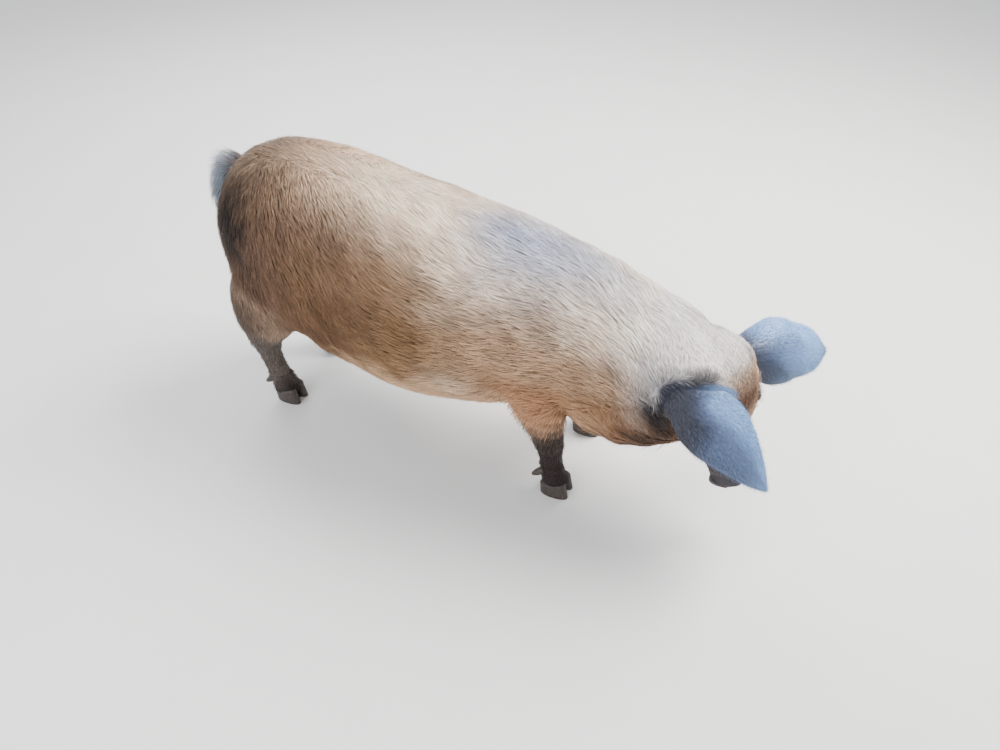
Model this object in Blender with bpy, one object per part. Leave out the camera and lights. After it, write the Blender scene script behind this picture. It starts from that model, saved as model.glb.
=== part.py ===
"""A mangalica pig at life size, standing with its head lowered to the ground and turned to its right.

Metres, +Z up. The pig faces +X, its right flank is towards -Y, and it stands on z = 0.
The flesh is lofted along the trunk, head, legs and tail, fused into one body and parted by thin cuts.
"""

import math
import random

import bmesh
import bpy
import numpy as np
from mathutils import Matrix, Vector
from mathutils.bvhtree import BVHTree

# Gap between neighbouring pieces, and the fineness of the fused flesh.
GAP = 0.0003
FLESH_VOXEL = 0.005
FLESH_TRIANGLES = 4000
SMOOTH_PASSES = 12
MERGE_DISTANCE = 1e-7
SHORTEST_EDGE = 1e-6

# How many points go round each loft.
TRUNK_SIDES = 40
JOWL_SIDES = 28
FACE_SIDES = 32
LEG_SIDES = 24
TAIL_SIDES = 10

# How far the tips of the coat stand off the flesh of trunk, head and legs.
COAT_TRUNK = 0.011
COAT_HEAD = 0.004
COAT_LEG = 0.002

# The head: where its long axis starts under the poll, how it is turned and tilted, and its length.
POLL = Vector((0.672, -0.024, 0.455))
HEAD_YAW = -28
HEAD_PITCH = 69

# Where the feet stand, and the slanting line where the horn of a hoof starts.
FOOT_X = {"hind": -0.387, "fore": 0.390}
STANCE_Y = 0.112
HOOF_TOP = 0.042
HOOF_SLOPE = 0.22
CLAW_OFFSET = 0.0168
CLAW_SOLE = (0.0150, 0.043, 0.028)
CLAW_TOP = (0.0155, 0.033, 0.030)
CLAW_LEVELS = (0.0, 0.08, 0.5, 1.0)
CLAW_BEVEL = 0.0015
CLAW_SIDES = 12

# The dewclaws behind each foot: place from the foot's middle, length and radii.
DEWCLAW_PLACE = (-0.022, 0.018, 0.082)
DEWCLAW_LEAN = (-0.75, 0.22, -0.62)
DEWCLAW_LENGTH = 0.036
DEWCLAW_SHARES = (0, 0.6, 1)
DEWCLAW_RADII = (0.0105, 0.0095, 0.0045)
DEWCLAW_FLATNESS = 0.75
DEWCLAW_SIDES = 8

# Where the legs part from the trunk and where each bends. A leg's region runs from its rearmost
# to its foremost place, outside the inner line and under its roof.
HIND_CUT = ((-0.30, 0, 0.232), (-0.35, 0, -1))
FORE_CUT = ((0.38, 0, 0.212), (0, 0, -1))
HOCK_Z = 0.188
KNEE_Z = 0.152
HIND_REGION = (-0.600, -0.275, 0.360)
FORE_REGION = (0.240, 0.480, 0.300)
LEG_INNER_Y = 0.030

# Planes that part the trunk, neck and head.
REAR_CUT = ((-0.21, 0, 0), (1, 0, 0))
SHOULDER_CUT = ((0.17, 0, 0), (1, 0, 0))
NECK_CUT = ((0.445, 0, 0.43), (0.996, 0, -0.087))
HEAD_CUT = ((0.555, -0.03, 0.37), (0.858, -0.382, -0.342))

BORDERS = [
    ("torso_rear", REAR_CUT),
    ("torso_middle", SHOULDER_CUT),
    ("torso_front", NECK_CUT),
    ("neck", HEAD_CUT),
]

# An ear as a leaf: share of its length, half width, depth of the cup.
EAR = [
    (0.00, 0.040, 0.044),
    (0.12, 0.055, 0.046),
    (0.30, 0.073, 0.036),
    (0.50, 0.068, 0.024),
    (0.70, 0.048, 0.013),
    (0.85, 0.030, 0.007),
    (0.95, 0.014, 0.003),
    (1.00, 0.004, 0.000),
]
EAR_THICKNESS = 0.011
EAR_EDGE = 0.0045
EAR_ROOT_DEPTH = 0.16
EAR_ROOT_NARROWING = 0.6
EAR_THINNING = 0.45
EAR_TWIST_FROM = 0.3
EAR_RINGS = 10
EAR_COLUMNS = 7

# Each ear: root in the head's directions, tip, way it faces, arch, sideways bow, twist, size.
EARS = {
    "right": ((0.022, -0.116, 0.014), (0.845, -0.163, 0.290), (0.01, -0.69, 0.72), 0.026, 0.008, -10, 0.92),
    "left": ((0.024, 0.098, 0.016), (0.886, 0.222, 0.364), (0.66, -0.38, 0.60), 0.020, 0.004, 0, 0.98),
}

# Stations down the tail: x, y, z, radius.
TAIL = [
    (-0.440, 0.000, 0.600, 0.026),
    (-0.478, -0.003, 0.622, 0.023),
    (-0.503, -0.010, 0.614, 0.019),
    (-0.519, -0.021, 0.585, 0.016),
    (-0.522, -0.031, 0.548, 0.0125),
    (-0.517, -0.038, 0.515, 0.0095),
    (-0.512, -0.041, 0.490, 0.0060),
]

# Stations along the trunk and neck, from buttocks to nape:
# x, y, z of the centre, yaw, pitch down, half width, height above, depth below, squareness.
TRUNK = [
    (-0.484, 0, 0.478, 0, 0, 0.060, 0.070, 0.070, 2.0),
    (-0.466, 0, 0.476, 0, 0, 0.124, 0.155, 0.145, 2.1),
    (-0.420, 0, 0.472, 0, 0, 0.170, 0.206, 0.180, 2.2),
    (-0.350, 0, 0.462, 0, 0, 0.200, 0.238, 0.198, 2.2),
    (-0.240, 0, 0.446, 0, 0, 0.219, 0.258, 0.218, 2.15),
    (-0.100, 0, 0.427, 0, 0, 0.230, 0.249, 0.240, 2.1),
    (0.040, 0, 0.415, 0, 0, 0.233, 0.240, 0.247, 2.1),
    (0.180, -0.006, 0.420, -1, 0, 0.211, 0.222, 0.228, 2.1),
    (0.300, -0.016, 0.422, -3, 4, 0.186, 0.206, 0.200, 2.1),
    (0.410, -0.020, 0.418, -6, 12, 0.168, 0.184, 0.190, 2.1),
    (0.520, -0.030, 0.402, -11, 25, 0.148, 0.158, 0.185, 2.05),
    (0.605, -0.036, 0.386, -18, 40, 0.130, 0.140, 0.165, 2.05),
    (0.650, -0.040, 0.362, -22, 52, 0.112, 0.122, 0.145, 2.1),
    (0.672, -0.042, 0.345, -24, 58, 0.090, 0.100, 0.120, 2.1),
]

# Stations along the jowl that hangs between throat and jaw: x, y, z, half width, height, depth.
JOWL = [
    (0.380, -0.016, 0.350, 0.080, 0.090, 0.080),
    (0.450, -0.024, 0.340, 0.118, 0.110, 0.112),
    (0.520, -0.034, 0.330, 0.138, 0.110, 0.116),
    (0.580, -0.044, 0.328, 0.140, 0.105, 0.112),
    (0.635, -0.055, 0.338, 0.130, 0.095, 0.092),
    (0.680, -0.065, 0.352, 0.102, 0.070, 0.066),
    (0.705, -0.070, 0.362, 0.060, 0.040, 0.038),
]

# Stations down the head: distance from the poll, offset to the brow side, half width,
# height to the brow line, depth to the jaw line, squareness.
HEAD = [
    (-0.050, -0.010, 0.045, 0.040, 0.060, 2.0),
    (-0.025, 0.000, 0.080, 0.068, 0.090, 2.1),
    (0.015, 0.000, 0.095, 0.082, 0.118, 2.2),
    (0.060, 0.000, 0.100, 0.083, 0.126, 2.2),
    (0.100, 0.000, 0.096, 0.073, 0.110, 2.2),
    (0.140, 0.000, 0.080, 0.060, 0.078, 2.2),
    (0.175, 0.000, 0.062, 0.052, 0.054, 2.2),
    (0.210, 0.002, 0.049, 0.048, 0.040, 2.2),
    (0.245, 0.004, 0.042, 0.046, 0.034, 2.2),
    (0.270, 0.006, 0.042, 0.046, 0.033, 2.3),
    (0.284, 0.007, 0.043, 0.046, 0.033, 2.4),
]

# Stations down the lower jaw, as for the head.
JAW = [
    (0.020, -0.070, 0.060, 0.040, 0.050, 2.0),
    (0.070, -0.078, 0.068, 0.034, 0.052, 2.1),
    (0.120, -0.074, 0.058, 0.028, 0.044, 2.1),
    (0.165, -0.062, 0.045, 0.020, 0.032, 2.1),
    (0.205, -0.052, 0.034, 0.015, 0.021, 2.1),
    (0.232, -0.046, 0.026, 0.011, 0.015, 2.1),
    (0.242, -0.044, 0.018, 0.007, 0.010, 2.0),
]

# The mouth: how far down the head its corner and its front lie, their offsets towards the brow,
# and how wide the slit is at the corner and at the front.
MOUTH_CORNER = (0.148, -0.046, 0.0010)
MOUTH_FRONT = (0.262, -0.031, 0.0032)
MOUTH_HALF_WIDTH = 0.095
MOUTH_SAG = 0.006
MOUTH_STEPS = 6

# The snout disc and its nostrils, in the head's own directions.
SNOUT_CUT = 0.262
NOSTRIL_PLACE = (0.0165, 0.012)
NOSTRIL_RADII = (0.0062, 0.0088)
NOSTRIL_DEPTH = 0.014
NOSTRIL_REACH = 0.020
NOSTRIL_SLANT = 0.25
NOSTRIL_SIDES = 16

# The eyes: radius, where a line out through the head meets each, and how deep each is sunk.
EYE_RADIUS = 0.0125
EYE_FROM = (0.092, 0.030, 0.020)
EYE_TOWARDS = (0.10, 0.86, 0.50)
EYE_SUNK = 0.0075
LID_HALF_LENGTH = 0.0160
LID_HALF_HEIGHT = 0.0100
LID_THICKNESS = 0.0036
LID_PROUD = 0.0005
LID_TURNS = 16
LID_SIDES = 6
EYE_COLUMNS = 12
EYE_ROWS = 7

# Stations down a right leg: x, y, z, half width, reach forwards, reach back.
HIND_LEG = [
    (-0.330, -0.070, 0.570, 0.060, 0.080, 0.060),
    (-0.340, -0.096, 0.490, 0.092, 0.130, 0.095),
    (-0.352, -0.116, 0.400, 0.090, 0.136, 0.108),
    (-0.368, -0.128, 0.315, 0.071, 0.104, 0.088),
    (-0.392, -0.128, 0.252, 0.050, 0.064, 0.063),
    (-0.409, -0.123, 0.205, 0.036, 0.043, 0.050),
    (-0.412, -0.118, 0.155, 0.027, 0.029, 0.034),
    (-0.407, -0.115, 0.105, 0.026, 0.029, 0.030),
    (-0.396, -0.113, 0.066, 0.031, 0.034, 0.034),
    (-0.387, -0.112, 0.028, 0.035, 0.040, 0.035),
]
FORE_LEG = [
    (0.300, -0.075, 0.520, 0.060, 0.070, 0.080),
    (0.315, -0.098, 0.440, 0.080, 0.100, 0.115),
    (0.330, -0.118, 0.350, 0.072, 0.088, 0.098),
    (0.348, -0.130, 0.275, 0.052, 0.062, 0.065),
    (0.363, -0.129, 0.218, 0.037, 0.043, 0.044),
    (0.374, -0.125, 0.172, 0.034, 0.037, 0.037),
    (0.378, -0.120, 0.125, 0.027, 0.029, 0.030),
    (0.380, -0.116, 0.085, 0.027, 0.030, 0.031),
    (0.386, -0.114, 0.055, 0.032, 0.035, 0.034),
    (0.390, -0.112, 0.028, 0.035, 0.040, 0.035),
]

# The coat's locks: how far apart they root along and round the body, and their sizes.
LOCK_SEED = 7
LOCK_ROW = 0.090
LOCK_COLUMN = 0.074
LOCK_LENGTH = 0.135
LOCK_WIDTH = 0.060
LOCK_RIDGE = 0.0055
LOCK_SPREAD = 13
LOCK_BEND = 9
LOCK_STRETCH = (0.88, 1.14)
LOCK_SHRINKS = (1.0, 0.86, 0.72, 0.58, 0.46)
ROOT_MARGIN = 0.012
LOCK_MARGIN = 0.0035
LOCK_CLEARANCE = 0.008

# A lock from root to tip: share of its length, rise off the flesh, share of its width.
LOCK = [
    (0.00, -0.0100, 0.55),
    (0.17, 0.0030, 0.92),
    (0.58, 0.0072, 0.84),
    (1.00, 0.0095, 0.00),
]

# How the lie of the coat turns down from straight back: along the spine, on the flanks, on the hams
# from a station on, and on the face. The muzzle is bare from this far down the head.
BACK_DROOP = 0.10
FLANK_DROOP = 0.42
HAM_FROM = -0.200
HAM_OVER = 0.180
HAM_DROOP = 1.50
HAM_TURN = 0.45
FACE_DROOP = 0.35
MUZZLE_FROM = 0.232

# Where roots are sought: the stretch of the trunk and the head, and how fine the search is.
ROOTS_FROM = 0.655
ROOTS_TO = -0.455
ROOTS_LOWEST = -64
ROOT_STEP = 0.014
ROOT_TURN = 6
RUMP_CENTRE = (-0.380, 0.0, 0.470)
HAM_CENTRE = (-0.365, 0.115)
HAM_HEIGHTS = (0.400, 0.345, 0.295)
SHOULDER_CENTRE = (0.335, 0.112)
SHOULDER_HEIGHTS = (0.330, 0.285)
SHOULDER_TURNS = (-80, 180)
FACE_ROOTS = (0.085, 0.050, 0.010, -0.020)
RUMP_TILTS = (70, -30)
RUMP_TURNS = (-78, 78)

# The tuft at the end of the tail: locks in it, where they root, how long and wide they are.
TUFT_LOCKS = 6
TUFT_ROOTS = (4, 5)
TUFT_LENGTH = 0.075
TUFT_WIDTH = 0.020
TUFT_SPLAY = 0.28

# Colours and roughness by the start of a piece's name.
COLOURS = [
    ("torso_front", (0.52, 0.33, 0.19), 0.75),
    ("torso", (0.42, 0.23, 0.11), 0.75),
    ("neck", (0.58, 0.42, 0.29), 0.75),
    ("head", (0.48, 0.30, 0.19), 0.75),
    ("snout", (0.045, 0.042, 0.048), 0.45),
    ("ear", (0.13, 0.15, 0.19), 0.7),
    ("eye", (0.02, 0.012, 0.008), 0.12),
    ("tail", (0.25, 0.25, 0.27), 0.75),
    ("leg_hind", (0.14, 0.085, 0.05), 0.8),
    ("leg_fore", (0.20, 0.12, 0.07), 0.8),
    ("hoof", (0.05, 0.042, 0.036), 0.5),
    ("dewclaw", (0.05, 0.042, 0.036), 0.5),
]


def head_axes():
    """Unit vectors down the face, to the pig's left, and out of the brow."""
    yaw, pitch = math.radians(HEAD_YAW), math.radians(HEAD_PITCH)
    down = Vector((math.cos(yaw) * math.cos(pitch), math.sin(yaw) * math.cos(pitch), -math.sin(pitch)))
    left = Vector((-math.sin(yaw), math.cos(yaw), 0))
    return down, left, down.cross(left)


def head_point(along, left, brow):
    """The place of a point given down the face from the poll, to the left, and out of the brow."""
    down_axis, left_axis, brow_axis = head_axes()
    return POLL + float(along) * down_axis + float(left) * left_axis + float(brow) * brow_axis


def unit(values):
    return Vector(values).normalized()


def clear_scene():
    for found in list(bpy.data.objects):
        bpy.data.objects.remove(found, do_unlink=True)


def smooth_stations(stations, steps):
    """Rows read from a Catmull-Rom curve through the stations, in steps between each two."""
    rows = np.array(stations, float)
    ends = np.vstack([2 * rows[0] - rows[1], rows, 2 * rows[-1] - rows[-2]])
    read = []
    for before, start, end, after in zip(ends, ends[1:], ends[2:], ends[3:]):
        for t in np.arange(steps) / steps:
            read.append(
                0.5 * (2 * start + (end - before) * t
                       + (2 * before - 5 * start + 4 * end - after) * t**2
                       + (3 * start - before - 3 * end + after) * t**3)
            )
    read.append(rows[-1])
    return [row.tolist() for row in read]


def ring(centre, side, up, half_width, above, below, squareness, count):
    """Points of a superellipse that may reach further to one side of its centre than to the other."""
    turn = np.linspace(0, 2 * math.pi, count, endpoint=False)
    power = 2 / squareness
    across = half_width * np.sign(np.cos(turn)) * np.abs(np.cos(turn)) ** power
    rise = np.where(np.sin(turn) > 0, above, below) * np.sign(np.sin(turn)) * np.abs(np.sin(turn)) ** power
    return np.array(centre) + across[:, None] * np.array(side) + rise[:, None] * np.array(up)


def new_object(name, vertices, faces):
    mesh = bpy.data.meshes.new(name)
    mesh.from_pydata([tuple(v) for v in vertices], [], faces)
    mesh.update()
    made = bpy.data.objects.new(name, mesh)
    bpy.context.scene.collection.objects.link(made)
    return made


def point_outwards(made):
    work = bmesh.new()
    work.from_mesh(made.data)
    bmesh.ops.recalc_face_normals(work, faces=work.faces)
    if work.calc_volume(signed=True) < 0:
        bmesh.ops.reverse_faces(work, faces=work.faces)
    work.to_mesh(made.data)
    work.free()


def loft(name, rings):
    """A closed skin through rings of equal count, with a flat face on each end."""
    count = len(rings[0])
    faces = []
    for k in range(len(rings) - 1):
        for i in range(count):
            j = (i + 1) % count
            faces.append((k * count + i, k * count + j, (k + 1) * count + j, (k + 1) * count + i))
    faces.append(tuple(reversed(range(count))))
    faces.append(tuple(range((len(rings) - 1) * count, len(rings) * count)))
    made = new_object(name, np.vstack(rings), faces)
    point_outwards(made)
    return made


def trunk_loft():
    rings = []
    for x, y, z, yaw, pitch, width, above, below, square in smooth_stations(TRUNK, 4):
        yaw, pitch = math.radians(yaw), math.radians(pitch)
        side = Vector((-math.sin(yaw), math.cos(yaw), 0))
        ahead = Vector((math.cos(yaw) * math.cos(pitch), math.sin(yaw) * math.cos(pitch), -math.sin(pitch)))
        width, above, below = width - COAT_TRUNK, above - COAT_TRUNK, below - COAT_TRUNK
        rings.append(ring((x, y, z), side, ahead.cross(side), width, above, below, square, TRUNK_SIDES))
    return loft("trunk_loft", rings)


def jowl_loft():
    _, side, _ = head_axes()
    rings = []
    for x, y, z, width, above, below in smooth_stations(JOWL, 3):
        width, below = width - COAT_HEAD, below - COAT_HEAD
        rings.append(ring((x, y, z), side, (0, 0, 1), width, above, below, 2, JOWL_SIDES))
    return loft("jowl_loft", rings)


def face_loft(name, stations):
    _, side, brow = head_axes()
    rings = []
    for along, lift, width, above, below, square in smooth_stations(stations, 4):
        centre = head_point(along, 0, lift)
        width, above, below = width - COAT_HEAD, above - COAT_HEAD, below - COAT_HEAD
        rings.append(ring(centre, side, brow, width, above, below, square, FACE_SIDES))
    return loft(name, rings)


def leg_loft(name, stations, side_sign):
    rings = []
    for x, y, z, width, ahead, behind in smooth_stations(stations, 3):
        width, ahead, behind = width - COAT_LEG, ahead - COAT_LEG, behind - COAT_LEG
        place = (x, y * side_sign, z)
        rings.append(ring(place, (0, 1, 0), (1, 0, 0), width, ahead, behind, 2.1, LEG_SIDES))
    return loft(name, rings)


def tube(name, stations, count, steps):
    """A round rod along stations of x, y, z and radius."""
    rows = np.array(smooth_stations(stations, steps))
    ahead = np.gradient(rows[:, :3], axis=0)
    rings = []
    for row, direction in zip(rows.tolist(), ahead.tolist()):
        direction = unit(direction)
        side = direction.cross(Vector((0.31, 0.95, 0.07))).normalized()
        rings.append(ring(row[:3], side, direction.cross(side), row[3], row[3], row[3], 2, count))
    return loft(name, rings)


def apply_modifiers(made):
    bpy.context.view_layer.update()
    graph = bpy.context.evaluated_depsgraph_get()
    mesh = bpy.data.meshes.new_from_object(made.evaluated_get(graph))
    made.modifiers.clear()
    made.data = mesh


def joined(name, pieces):
    """One object that holds the pieces' surfaces, which may overlap."""
    work = bmesh.new()
    for piece in pieces:
        work.from_mesh(piece.data)
        bpy.data.objects.remove(piece, do_unlink=True)
    mesh = bpy.data.meshes.new(name)
    work.to_mesh(mesh)
    work.free()
    made = bpy.data.objects.new(name, mesh)
    bpy.context.scene.collection.objects.link(made)
    return made


def fuse(name, pieces, voxel, passes, triangles):
    """Melts overlapping lofts into one smooth closed skin of about the given number of triangles."""
    made = joined(name, pieces)
    remesh = made.modifiers.new("melt", "REMESH")
    remesh.mode = "VOXEL"
    remesh.voxel_size = voxel
    smooth = made.modifiers.new("smooth", "SMOOTH")
    smooth.factor = 0.5
    smooth.iterations = passes
    apply_modifiers(made)
    thin = made.modifiers.new("thin", "DECIMATE")
    thin.ratio = triangles / (2 * len(made.data.polygons))
    thin.use_collapse_triangulate = True
    apply_modifiers(made)
    return made


def copy_of(made, name):
    twin = bpy.data.objects.new(name, made.data.copy())
    bpy.context.scene.collection.objects.link(twin)
    return twin


def best_corner(work, face):
    """The corners on either side of the one that is best cut off a flat face, as a well shaped triangle.

    It stands out, holds no other corner, and the line across it is not an edge of the mesh yet.
    """
    corners = [loop.vert for loop in face.loops]
    best = (0.0, None)
    for k, here in enumerate(corners):
        before, after = corners[k - 1], corners[(k + 1) % len(corners)]
        sides = [here.co - before.co, after.co - here.co, before.co - after.co]
        area = sides[0].cross(sides[1]).dot(face.normal)
        shape = area / max(side.length_squared for side in sides)
        if shape <= best[0] or work.edges.get((before, after)):
            continue
        starts = [before.co, here.co, after.co]
        others = [vert.co for vert in corners if vert not in (before, here, after)]
        held = [all(side.cross(spot - start).dot(face.normal) >= 0 for side, start in zip(sides, starts))
                for spot in others]
        if not any(held):
            best = (shape, (before, after))
    return best[1]


def split_to_triangles(made):
    """Cuts faces into triangles corner by corner, so that no new edge runs along an old one."""
    work = bmesh.new()
    work.from_mesh(made.data)
    for face in [face for face in work.faces if len(face.verts) > 3]:
        while len(face.verts) > 3:
            face.normal_update()
            ends = best_corner(work, face)
            if ends is None:
                break
            other, _ = bmesh.utils.face_split(face, *ends)
            face = max(face, other, key=lambda part: len(part.verts))
    bmesh.ops.triangulate(work, faces=[face for face in work.faces if len(face.verts) > 3])
    work.to_mesh(made.data)
    work.free()


def keep_largest(made):
    """Drops every closed surface of an object but the one with the largest volume."""
    work = bmesh.new()
    work.from_mesh(made.data)
    bmesh.ops.remove_doubles(work, verts=work.verts, dist=MERGE_DISTANCE)
    bmesh.ops.dissolve_degenerate(work, edges=work.edges, dist=SHORTEST_EDGE)
    left = set(work.faces)
    groups = []
    while left:
        queue = [left.pop()]
        group = list(queue)
        while queue:
            for edge in queue.pop().edges:
                for face in edge.link_faces:
                    if face in left:
                        left.discard(face)
                        queue.append(face)
                        group.append(face)
        groups.append(group)
    groups.sort(key=lambda faces: abs(signed_volume(faces)))
    drop = [face for group in groups[:-1] for face in group]
    bmesh.ops.delete(work, geom=drop, context="FACES")
    work.to_mesh(made.data)
    work.free()


def signed_volume(faces):
    total = 0.0
    for face in faces:
        corners = [vert.co for vert in face.verts]
        for second, third in zip(corners[1:], corners[2:]):
            total += corners[0].dot(second.cross(third)) / 6
    return total


def combine(made, tools, operation, solver="EXACT"):
    """Adds closed tools to an object or takes them away, and removes the tools."""
    group = bpy.data.collections.new("tools")
    bpy.context.scene.collection.children.link(group)
    for tool in tools:
        bpy.context.scene.collection.objects.unlink(tool)
        group.objects.link(tool)
    step = made.modifiers.new("combine", "BOOLEAN")
    step.operation = operation
    step.operand_type = "COLLECTION"
    step.collection = group
    step.solver = solver
    apply_modifiers(made)
    for tool in tools:
        bpy.data.objects.remove(tool, do_unlink=True)
    bpy.data.collections.remove(group)
    keep_largest(made)


def everywhere(place):
    return True


def half_of(made, name, place, normal, beyond, inside=everywhere):
    """The piece of an object on one side of a plane, closed with a flat face.

    Only faces for which inside() is true are cut. The piece stops short of the plane by half the gap.
    """
    normal = unit(normal)
    cut = Vector(place) + normal * (GAP / 2 if beyond else -GAP / 2)
    work = bmesh.new()
    work.from_mesh(made.data)
    near = [face for face in work.faces if inside(face.calc_center_median())]
    near_edges = list({edge for face in near for edge in face.edges})
    near_verts = list({vert for face in near for vert in face.verts})
    nearby = near + near_edges + near_verts
    bmesh.ops.bisect_plane(work, geom=nearby, dist=SHORTEST_EDGE, plane_co=cut, plane_no=normal)
    drop = []
    for face in work.faces:
        centre = face.calc_center_median()
        is_beyond = inside(centre) and (centre - cut).dot(normal) > 0
        if is_beyond != beyond:
            drop.append(face)
    bmesh.ops.delete(work, geom=drop, context="FACES")
    rim = [edge for edge in work.edges if edge.is_boundary]
    filled = bmesh.ops.holes_fill(work, edges=rim, sides=0)["faces"]
    bmesh.ops.triangulate(work, faces=filled)
    mesh = bpy.data.meshes.new(name)
    work.to_mesh(mesh)
    work.free()
    piece = bpy.data.objects.new(name, mesh)
    bpy.context.scene.collection.objects.link(piece)
    keep_largest(piece)
    point_outwards(piece)
    return piece


def part_at(made, kept_name, taken_name, cut, inside=everywhere):
    """Parts an object at a plane and returns the near piece and the piece beyond."""
    kept = half_of(made, kept_name, cut[0], cut[1], False, inside)
    taken = half_of(made, taken_name, cut[0], cut[1], True, inside)
    bpy.data.objects.remove(made, do_unlink=True)
    return kept, taken


def swollen(made, name, by):
    """A copy of an object with its surface pushed out."""
    twin = copy_of(made, name)
    work = bmesh.new()
    work.from_mesh(twin.data)
    work.normal_update()
    for vert in work.verts:
        vert.co += vert.normal * by
    work.to_mesh(twin.data)
    work.free()
    return twin


def clear_of(piece, neighbour):
    """Cuts a piece back to the surface it grows from, less the gap."""
    combine(piece, [swollen(neighbour, "swollen", 1.25 * GAP)], "DIFFERENCE")


def mouth_slit():
    """A thin wedge across the muzzle, from the corners of the mouth out past its front."""
    rows = []
    for t in np.linspace(0, 1, MOUTH_STEPS):
        along, lift, half = ((1 - t) * np.array(MOUTH_CORNER) + t * np.array(MOUTH_FRONT)).tolist()
        lift -= MOUTH_SAG * math.sin(math.pi * t)
        rows.append([
            head_point(along, MOUTH_HALF_WIDTH, lift + half),
            head_point(along, -MOUTH_HALF_WIDTH, lift + half),
            head_point(along, -MOUTH_HALF_WIDTH, lift - half),
            head_point(along, MOUTH_HALF_WIDTH, lift - half),
        ])
    return loft("mouth_slit", [np.array([tuple(point) for point in row]) for row in rows])


def nostril_bore(side):
    """An oval bore into the snout disc that slants outwards."""
    _, left, brow = head_axes()
    rings = []
    wide, high = NOSTRIL_RADII
    for reach in (-NOSTRIL_DEPTH, NOSTRIL_REACH):
        across = side * (NOSTRIL_PLACE[0] - NOSTRIL_SLANT * reach)
        centre = head_point(HEAD[-1][0] + reach, across, NOSTRIL_PLACE[1])
        rings.append(ring(centre, left, brow, wide, high, high, 2, NOSTRIL_SIDES))
    return loft("nostril_bore", rings)


def ball(name, centre, radius):
    mesh = bpy.data.meshes.new(name)
    work = bmesh.new()
    bmesh.ops.create_uvsphere(work, u_segments=EYE_COLUMNS, v_segments=EYE_ROWS, radius=radius)
    bmesh.ops.translate(work, verts=work.verts, vec=centre)
    work.to_mesh(mesh)
    work.free()
    made = bpy.data.objects.new(name, mesh)
    bpy.context.scene.collection.objects.link(made)
    return made


def eye_place(flesh, side):
    """Where an eye sits in the face, and the way out of the head there."""
    down, left, brow = head_axes()
    start = head_point(EYE_FROM[0], side * EYE_FROM[1], EYE_FROM[2])
    way = (EYE_TOWARDS[0] * down + side * EYE_TOWARDS[1] * left + EYE_TOWARDS[2] * brow).normalized()
    tree = BVHTree.FromObject(flesh, bpy.context.evaluated_depsgraph_get())
    hit, normal, _, _ = tree.ray_cast(start, way)
    return hit - EYE_SUNK * way, way


def lid_ring(side, centre, way):
    """A soft rim round the eye, longer than it is high, along the line from eye to snout."""
    down, _, _ = head_axes()
    along = (down - way * down.dot(way)).normalized()
    across = way.cross(along)
    rings = []
    for turn in np.linspace(0, 2 * math.pi, LID_TURNS, endpoint=False).tolist():
        outward = (math.cos(turn) * LID_HALF_LENGTH * along + math.sin(turn) * LID_HALF_HEIGHT * across)
        middle = centre + outward + way * (EYE_SUNK + LID_PROUD)
        thick = LID_THICKNESS
        rings.append(ring(middle, outward.normalized(), way, thick, thick, 2 * thick, 2, LID_SIDES))
    faces = []
    for k in range(LID_TURNS):
        for i in range(LID_SIDES):
            here, there = k * LID_SIDES, (k + 1) % LID_TURNS * LID_SIDES
            j = (i + 1) % LID_SIDES
            faces.append((here + i, here + j, there + j, there + i))
    made = new_object("lid_ring", np.vstack(rings), faces)
    point_outwards(made)
    return made


def ear_frame(side):
    """Midline, direction, width axis and facing of an ear at a share of its length."""
    root, tip, facing, arch, bow, twist, size = EARS[side]
    root, tip = head_point(*root), Vector(tip)
    span = tip - root
    face = Vector(facing) - Vector(facing).project(span)
    face.normalize()
    across = face.cross(span).normalized()

    def at(t):
        swing = math.sin(math.pi * t)
        middle = root + t * span + arch * swing * face + bow * swing * across
        ahead = (span + arch * math.pi * math.cos(math.pi * t) * face).normalized()
        out = (face - face.project(ahead)).normalized()
        wide = out.cross(ahead)
        turn = math.radians(twist * (t - EAR_TWIST_FROM))
        cosine, sine = math.cos(turn), math.sin(turn)
        return middle, cosine * wide + sine * out, cosine * out - sine * wide

    return at, size


def ear(side):
    """A cupped leaf, thick in the middle and thin at its edges, with its root in the head."""
    at, size = ear_frame(side)
    table = np.array(EAR)
    rings = []
    for t in [-EAR_ROOT_DEPTH, -EAR_ROOT_DEPTH / 2] + np.linspace(0, 1, EAR_RINGS).tolist():
        middle, wide, out = at(t)
        half = size * float(np.interp(t, table[:, 0], table[:, 1])) * (1 + EAR_ROOT_NARROWING * min(t, 0))
        cup = float(np.interp(t, table[:, 0], table[:, 2]))
        thick = EAR_THICKNESS * (1 - EAR_THINNING * max(t, 0))
        points = []
        for face_sign in (1, -1):
            for s in np.linspace(-face_sign, face_sign, EAR_COLUMNS).tolist():
                skin = (EAR_EDGE + (thick - EAR_EDGE) * (1 - s * s)) / 2
                points.append(tuple(middle + half * s * wide - (cup * s * s - face_sign * skin) * out))
        rings.append(np.array(points))
    return loft(f"ear_{side}", rings)


def claw(name, foot_x, y):
    """One toe of a hoof: a flat sole, a sloping wall and a slanting top."""
    rings = []
    for t in CLAW_LEVELS:
        reach = (1 - t) * np.array(CLAW_SOLE) + t * np.array(CLAW_TOP) - (CLAW_BEVEL if t == 0 else 0)
        points = ring((foot_x, y, 0), (0, 1, 0), (1, 0, 0), *reach.tolist(), 2.1, CLAW_SIDES)
        top = HOOF_TOP - GAP / 2 * math.hypot(1, HOOF_SLOPE) + HOOF_SLOPE * (points[:, 0] - foot_x)
        points[:, 2] = t * top
        rings.append(points)
    return loft(name, rings)


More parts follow.
